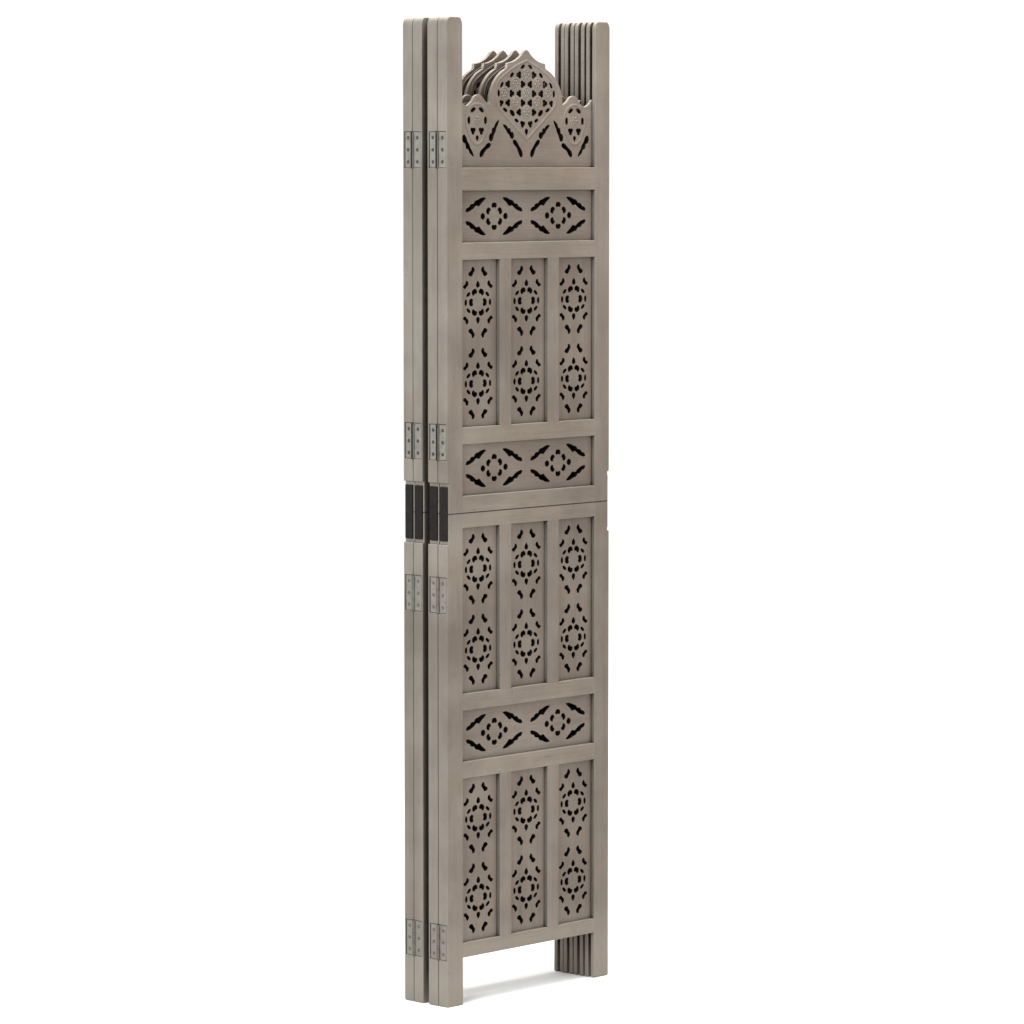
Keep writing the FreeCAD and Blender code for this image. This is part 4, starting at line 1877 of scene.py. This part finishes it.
@dataclass(frozen=True)
class Stiles:
    """Both lengths of every stile: the CAD solids with eased edges, round horn tops and round feet."""

    wood: Material
    joint: float
    ease: float = 1.5
    foot_round: float = 3.5
    recess_round: float = 3.2
    recess_reach: Span = Span(5.0, 90.0)
    horn_inset: float = 9.5
    horn_rise: float = 13.0
    horn_slices: int = 9
    chamfer: float = 4.0
    steps: int = 4
    flat: float = 1.0
    slack: float = 2.0

    def square_horn(self, work: bmesh.types.BMesh) -> None:
        """Lift the chamfers of a horn to its top.

        Args:
            work: The open mesh of the stile.
        """
        top = max(corner.co.z for corner in work.verts)
        for corner in work.verts:
            if top - corner.co.z < (self.chamfer + self.slack) * MM:
                corner.co.z = top

    def round_horn(self, mesh: Mesh) -> None:
        """Round a horn across the panel: cut it into slices, which grow narrower towards its top.

        Args:
            mesh: The stile, which is changed.
        """
        work = bmesh.new()
        work.from_mesh(mesh)
        across = [corner.co.x for corner in work.verts]
        middle, half = (max(across) + min(across)) / 2, (max(across) - min(across)) / 2
        top = max(corner.co.z for corner in work.verts)
        rise = self.horn_rise * MM
        for k in range(self.horn_slices):
            level = top - rise + rise * math.sin(math.pi / 2 * k / self.horn_slices)
            parts = [*work.verts, *work.edges, *work.faces]
            bmesh.ops.bisect_plane(work, geom=parts, dist=WELD, plane_co=(0, 0, level), plane_no=(0, 0, 1))
        for corner in work.verts:
            up = min(max(1.0 - (top - corner.co.z) / rise, 0.0), 1.0)
            inset = self.horn_inset * MM * (1.0 - math.sqrt(1.0 - up * up))
            corner.co.x = middle + (corner.co.x - middle) * (1.0 - inset / half)
        work.to_mesh(mesh)
        work.free()

    def radius(self, edge: bmesh.types.BMEdge, sides: Sequence[float]) -> float:
        """Return the rounding of an edge: none if it is flat or hollow, more at a foot or a plate's recess.

        Args:
            edge: The edge.
            sides: Where the stile's two sides are, in metres.

        Returns:
            The radius.
        """
        if not edge.is_convex or math.degrees(edge.calc_face_angle(0.0)) < self.flat:
            return 0.0
        low, high = sorted(corner.co.z for corner in edge.verts)
        if high < WELD:
            return self.foot_round
        reach = self.slack * MM
        at_side = any(all(abs(corner.co.x - side) < reach for corner in edge.verts) for side in sides)
        away = abs(low / MM - self.joint)
        if at_side and high - low < WELD and self.recess_reach.low < away < self.recess_reach.high:
            return self.recess_round
        return self.ease

    def eased(self, node: str, horned: bool) -> Mesh:
        """Return a copy of a CAD node's solid with its edges rounded.

        Args:
            node: Name of the node.
            horned: Whether it ends in a horn.

        Returns:
            The rounded solid.
        """
        work = bmesh.new()
        work.from_mesh(frame["nodes"][node].data)
        bmesh.ops.remove_doubles(work, verts=work.verts, dist=WELD)
        if horned:
            self.square_horn(work)
        flat = math.radians(self.flat)
        bmesh.ops.dissolve_limit(work, angle_limit=flat, verts=work.verts, edges=work.edges)
        layer = work.edges.layers.float.new("bevel_weight_edge")
        across = [corner.co.x for corner in work.verts]
        for edge in work.edges:
            edge[layer] = self.radius(edge, (min(across), max(across))) / self.foot_round
        plain = bpy.data.meshes.new(node)
        work.to_mesh(plain)
        work.free()
        source = bpy.data.objects.new(node, plain)
        bpy.context.scene.collection.objects.link(source)
        bevel = source.modifiers.new("ease", "BEVEL")
        bevel.limit_method = "WEIGHT"
        bevel.width = self.foot_round * MM
        bevel.segments = self.steps
        mesh = bpy.data.meshes.new_from_object(source.evaluated_get(bpy.context.evaluated_depsgraph_get()))
        bpy.data.objects.remove(source)
        if horned:
            self.round_horn(mesh)
        return mesh

    def build(self, place: PanelPlace) -> None:
        """Set the stiles of a panel in place.

        Args:
            place: Place of the panel.
        """
        for side in ("left", "right"):
            for half in ("lower", "upper"):
                node = place.node(f"{side}_stile_{half}")
                mesh = self.eased(node, half == "upper")
                show(f"{node}_eased", mesh, self.wood, place.body, "frame_wood", node)


@dataclass(frozen=True)
class ScrewRow:
    """Countersunk screws with cross recesses, set on points."""

    radius: float = 3.1
    rim: float = 2.7
    rim_rise: float = 0.28
    skirt: float = 0.6
    recess: float = 1.5
    recess_waist: float = 0.675
    recess_floor: float = 0.21
    recess_depth: float = 0.7
    dome: float = 0.35
    sides: int = 16
    arms: int = 4

    def head(self) -> bpy.types.Object:
        """Build one screw head.

        Returns:
            An unlinked object that faces along Z.
        """
        corners = []
        for radius, height in ((self.radius, -self.skirt), (self.radius, 0.0), (self.rim, self.rim_rise)):
            corners += [(*around(radius, turn), height) for turn in turns(self.sides)]
        for k, turn in enumerate(turns(self.sides)):
            sunk = k % (self.sides // self.arms) == 0
            radius, height = (self.recess, -self.recess_floor) if sunk else (self.recess_waist, self.dome)
            corners.append((*around(radius, turn), height))
        middle = len(corners)
        last = middle - self.sides
        fan = [[last + k, last + (k + 1) % self.sides, middle] for k in range(self.sides)]
        faces = [range(self.sides), *ring_faces(middle // self.sides, self.sides), *fan]
        corners.append((0.0, 0.0, -self.recess_depth))
        return bpy.data.objects.new("screw_head", plain_mesh("screw_head", corners, faces))

    def sheet(self) -> GeometrySheet:
        """Set a screw on every point, facing the way that the point says.

        Returns:
            The tree.
        """
        sheet = GeometrySheet("screws")
        sheet.offer("NodeSocketObject", "Screw")
        facing = sheet.attribute("facing", "FLOAT_VECTOR")
        turned = sheet.add("FunctionNodeAlignRotationToVector", {"Vector": facing}, axis="Z")
        inputs = {"Points": sheet.given("Geometry"), "Instance": sheet.shape("Screw"), "Rotation": turned}
        sheet.close(sheet.add("GeometryNodeInstanceOnPoints", inputs))
        return sheet

    def drive(self, spots: list[tuple[Vector, Vector]], steel: Material) -> Mesh:
        """Set screws at places.

        Args:
            spots: Place and facing of each screw, in a panel's own plane.
            steel: Finish of the screws.

        Returns:
            The screws as one mesh.
        """
        points = point_cloud("screw_points", [place for place, facing in spots])
        fill_attribute(points.data, "facing", "FLOAT_VECTOR", [facing for place, facing in spots])
        head = self.head()
        screws = self.sheet().grow(points, Screw=head, Material=steel)
        bpy.data.objects.remove(head)
        return screws


class Leaf(Enum):
    """The two leaves of a butt hinge, with the knuckles that each one carries."""

    FRONT = (0, 2)
    BACK = (1,)


@dataclass(frozen=True)
class ButtHinges:
    """Butt hinges along one line: leaves let into the edges, round knuckles, pins and screws."""

    line: str
    joint: dict
    leaf_steel: Material
    pin_steel: Material
    screw_steel: Material
    leaf_thickness: float = 1.4
    leaf_ease: float = 0.25
    leaf_steps: int = 2
    barrel_radius: float = 2.6
    barrel_ease: float = 0.3
    pin_radius: float = 1.3
    pin_ease: float = 0.4
    knuckles: int = 3
    knuckle_gap: float = 0.3
    sides: int = 20
    screw_heights: tuple[float, ...] = (-20.0, 0.0, 20.0)
    seam: float = 0.7
    far_seam: float = 1.7
    # About a knuckle's crest: darkened as bare steel and as painted shade of the gap between the leaves.
    rubbed: Span = Span(0.5, 0.65)

    def rod(self, axis: Point, radius: float, tall: Span, ease: float) -> Mesh:
        """Return a round rod with eased ends.

        Args:
            axis: Its place.
            radius: Its radius.
            tall: Its lower and upper end.
            ease: Rounding of its ends.

        Returns:
            The rod in the panel's own plane.
        """
        foot = [(radius - ease, tall.low), (radius, tall.low + ease)]
        rings = foot + [(radius, tall.high - ease), (radius - ease, tall.high)]
        corners = []
        for reach, z in rings:
            corners += [(*around(reach, turn, axis), z) for turn in turns(self.sides)]
        last = len(corners) - self.sides
        caps = [range(self.sides), range(last, last + self.sides)]
        return plain_mesh("rod", corners, [*caps, *ring_faces(len(rings), self.sides)])

    def plate(self, box: Block, ease: float) -> Mesh:
        """Return a thin plate with eased edges.

        Args:
            box: The plate's room.
            ease: Rounding of its edges.

        Returns:
            The plate in the panel's own plane.
        """
        work = bmesh.new()
        bmesh.ops.create_cube(work, size=1.0)
        size = Matrix.Diagonal((box.x.length, box.y.length, box.z.length, 1.0))
        work.transform(Matrix.Translation((box.x.middle, box.y.middle, box.z.middle)) @ size)
        if ease:
            edges, steps = list(work.edges), self.leaf_steps
            bmesh.ops.bevel(work, geom=edges, offset=ease, segments=steps, profile=0.5, affect="EDGES")
        mesh = bpy.data.meshes.new("plate")
        work.to_mesh(mesh)
        work.free()
        return mesh

    def axis(self, place: PanelPlace) -> Point:
        """Return where the line's axis meets the floor, in a panel's own plane."""
        pivot = place.to_frame.inverted() @ Vector((*self.joint["pos_m"][:2], 0.0))
        return pivot.x, pivot.y

    def build_leaf(self, place: PanelPlace, leaf: Leaf, width: float) -> None:
        """Build one side of every hinge on the line.

        Args:
            place: Place of the panel that carries the leaves.
            leaf: Which leaf it is.
            width: Width of a panel.
        """
        name = f"hinge_{self.line}_{leaf.name.lower()}"
        node = f"{name}_flaps"
        axis = self.axis(place)
        outward = -1.0 if axis[0] < width / 2 else 1.0
        plates, barrels, spots = [], [], []
        for box in place.solids(node):
            floor = box.x.high if outward < 0 else box.x.low
            face = floor + outward * self.leaf_thickness
            thick = Span.between(floor, face)
            inward = 1.0 if abs(box.y.high - axis[1]) > abs(box.y.low - axis[1]) else -1.0
            far = box.y.high if inward > 0 else box.y.low
            clear = math.sqrt((self.barrel_radius + self.knuckle_gap) ** 2 - (face - axis[0]) ** 2)
            near = axis[1] + inward * clear
            edge = far - inward * (self.far_seam if leaf is Leaf.BACK else self.seam)
            room = Block(thick, Span.between(near, edge), box.z.grown(-self.seam))
            plates.append(self.plate(room, self.leaf_ease))
            pitch = box.z.length / self.knuckles
            for k in leaf.value:
                low = box.z.low + k * pitch + self.knuckle_gap / 2
                tall = Span(low, low + pitch - self.knuckle_gap)
                plates.append(self.plate(Block(thick, Span.between(axis[1], near + inward), tall), 0.0))
                barrels.append(self.rod(axis, self.barrel_radius, tall, self.barrel_ease))
            middle, facing = (near + far) / 2, Vector((outward, 0.0, 0.0))
            spots += [(Vector((face, middle, box.z.middle + h)), facing) for h in self.screw_heights]
        # Mark the knuckles' crests, which the paint darkens as bare steel and as painted shade.
        knuckles = joined("knuckles", barrels)
        outwards = [abs(corner.co.x - axis[0]) / self.barrel_radius for corner in knuckles.vertices]
        worn = [min(max((share - self.rubbed.low) / self.rubbed.length, 0.0), 1.0) for share in outwards]
        fill_attribute(knuckles, "rubbed", "FLOAT", worn)
        leaves = placed(joined("leaves", plates), place)
        show(f"{name}_leaves", leaves, self.leaf_steel, place.body, "hinge_steel", node)
        show(f"{name}_knuckles", placed(knuckles, place), self.leaf_steel, place.body, "hinge_steel", node)
        screws = placed(ScrewRow().drive(spots, self.screw_steel), place)
        show(f"{name}_screws", screws, self.screw_steel, place.body, "hinge_steel")

    def build_pins(self, place: PanelPlace) -> None:
        """Build the pins of the line, which go with the front panel.

        Args:
            place: Place of the front panel.
        """
        node = f"hinge_{self.line}_pins"
        axis = self.axis(place)
        rods = [self.rod(axis, self.pin_radius, box.z, self.pin_ease) for box in place.solids(node)]
        pins = placed(joined("pins", rods), place)
        show(f"{node}_round", pins, self.pin_steel, place.body, "hinge_steel", node)


@dataclass(frozen=True)
class JoiningPlates:
    """Steel plates over the joint of each stile: the CAD solids with eased edges, and a row of screws."""

    steel: Material
    ease: float = 0.5
    steps: int = 2
    sharp: float = 35.0
    flat: float = 1.0
    screw_heights: tuple[float, ...] = (-34.0, -13.0, 13.0, 34.0)

    def dress(self, node: str) -> None:
        """Round the edges of a CAD node and give it the finish.

        Args:
            node: Name of the node.
        """
        piece = frame["nodes"][node]
        piece.data.materials.clear()
        piece.data.materials.append(self.steel)
        weld = piece.modifiers.new("weld", "WELD")
        weld.merge_threshold = WELD
        flat = piece.modifiers.new("flat", "DECIMATE")
        flat.decimate_type = "DISSOLVE"
        flat.angle_limit = math.radians(self.flat)
        bevel = piece.modifiers.new("ease", "BEVEL")
        bevel.width = self.ease * MM
        bevel.segments = self.steps
        bevel.limit_method = "ANGLE"
        bevel.angle_limit = math.radians(self.sharp)
        log.info("%s: CAD solid with eased edges", node)

    def build(self, place: PanelPlace, width: float) -> None:
        """Dress the plates of a panel and drive their screws.

        Args:
            place: Place of the panel.
            width: Width of a panel.
        """
        node = place.node("joining_plates")
        self.dress(node)
        spots = []
        for box in place.solids(node):
            left = box.x.middle < width / 2
            face = box.x.low if left else box.x.high
            facing = Vector((-1.0 if left else 1.0, 0.0, 0.0))
            spots += [(Vector((face, box.y.middle, box.z.middle + h)), facing) for h in self.screw_heights]
        screws = placed(ScrewRow().drive(spots, self.steel), place)
        show(f"{node}_screws", screws, self.steel, place.body, "plate_steel")


@dataclass(frozen=True)
class Softbox:
    """A square area light that looks at a point, with its sizes in metres."""

    name: str
    place: tuple[float, float, float]
    target: tuple[float, float, float]
    size: float
    power: float
    colour: tuple[float, float, float]

    def build(self) -> None:
        """Add the light to the scene."""
        lamp = bpy.data.lights.new(self.name, "AREA")
        lamp.size = self.size
        lamp.energy = self.power
        lamp.color = self.colour
        light = bpy.data.objects.new(self.name, lamp)
        bpy.context.scene.collection.objects.link(light)
        light.location = self.place
        light.rotation_mode = "QUATERNION"
        light.rotation_quaternion = (Vector(self.target) - Vector(self.place)).to_track_quat("-Z", "Y")


@dataclass(frozen=True)
class Studio:
    """Pale floor, soft light and the camera.

    The camera's place is in the front panel's own plane; the floor's reach and the far clip are in metres.
    """

    camera_place: tuple[float, float, float] = (-5055.5, -4923.2, 1414.8)
    camera_yaw: float = 46.63
    camera_pitch: float = -4.71
    focal_pixels: float = 4270.17
    picture_pixels: float = 1024.0
    sensor_width: float = 36.0
    far_clip: float = 200.0
    floor_reach: float = 60.0
    sky_strength: float = 1.04
    lights: tuple[Softbox, ...] = (
        Softbox("key", (-2.2, -0.5, 1.9), (0.0, 0.0, 1.2), 1.4, 88.0, (0.8, 0.97, 1.0)),
        Softbox("fill", (0.8, -3.2, 0.45), (0.0, 0.0, 0.4), 1.8, 42.0, (1.0, 0.9, 0.82)),
        Softbox("top", (0.1, -0.2, 2.9), (0.0, 0.0, 1.0), 1.2, 75.0, (1.0, 0.97, 0.93)),
    )

    def build(self, front: PanelPlace) -> None:
        """Set up the floor, the light and the camera.

        Args:
            front: Place of the front panel.
        """
        scene = bpy.context.scene
        scene.view_settings.view_transform = "Standard"
        reach = Span(-self.floor_reach, self.floor_reach)
        corners = [(x, y, 0.0) for x, y in rectangle(reach, reach)]
        floor = bpy.data.objects.new("floor", plain_mesh("floor", corners, [(0, 1, 2, 3)]))
        floor.data.materials.append(PaleFloor("pale_floor").build())
        scene.collection.objects.link(floor)
        world = bpy.data.worlds.new("studio")
        scene.world = world
        world.use_nodes = True
        sky = world.node_tree.nodes["Background"]
        sky.inputs["Color"].default_value = (1.0, 1.0, 1.0, 1.0)
        sky.inputs["Strength"].default_value = self.sky_strength
        for light in self.lights:
            light.build()
        lens = bpy.data.cameras.new("camera")
        lens.sensor_width = self.sensor_width
        lens.lens = self.sensor_width * self.focal_pixels / self.picture_pixels
        lens.clip_end = self.far_clip
        camera = bpy.data.objects.new("camera", lens)
        scene.collection.objects.link(camera)
        yaw, pitch = math.radians(self.camera_yaw), math.radians(self.camera_pitch)
        ahead = Vector((math.sin(yaw) * math.cos(pitch), math.cos(yaw) * math.cos(pitch), math.sin(pitch)))
        camera.location = front.to_frame @ Vector(self.camera_place)
        camera.rotation_mode = "QUATERNION"
        camera.rotation_quaternion = ahead.to_track_quat("-Z", "Y")
        scene.camera = camera


def main() -> None:
    """Build the screen's pieces in order, then the studio."""
    logging.basicConfig(level=logging.INFO, format="%(name)s %(message)s")
    layout = PanelLayout.read()
    places = [PanelPlace.read(name, layout.width, layout.thickness) for name in PANELS]
    joint = layout.joint
    upright_wood = WashedWood("upright_wood", Grain.UPRIGHT, joint=joint).build()
    level_wood = WashedWood("level_wood", Grain.LEVEL, (92, 83, 75), (115, 104, 95), joint=joint).build()
    upright_board = WashedWood("upright_board_wood", Grain.UPRIGHT, (82, 72, 65), (104, 93, 85)).build()
    level_board = WashedWood("level_board_wood", Grain.LEVEL, (83, 73, 66), (106, 95, 87)).build()
    leaf_steel = PaintedSteel("hinge_leaf_paint").build()
    dark_steel = DarkSteel("browned_steel").build()
    screw_steel = DarkSteel("screw_steel", (60, 54, 48), (45, 40, 36), overpaint=0.7, metal=0.4).build()

    stiles = Stiles(upright_wood, joint)
    for place in places:
        stiles.build(place)
    FrameBars(layout, upright_wood, level_wood).build(places)
    CarvedBoards(layout, upright_board, level_board).build(places)
    plates = JoiningPlates(dark_steel)
    for place in places:
        plates.build(place, layout.width)
    by_name = {place.name: place for place in places}
    for fold in frame["joints"]:
        front, back = sorted((fold["parent"][-1], fold["child"][-1]))
        hinges = ButtHinges(front + back, fold, leaf_steel, dark_steel, screw_steel)
        hinges.build_leaf(by_name[front], Leaf.FRONT, layout.width)
        hinges.build_leaf(by_name[back], Leaf.BACK, layout.width)
        hinges.build_pins(by_name[front])
    Studio().build(places[0])


if __name__ == "__main__":
    main()
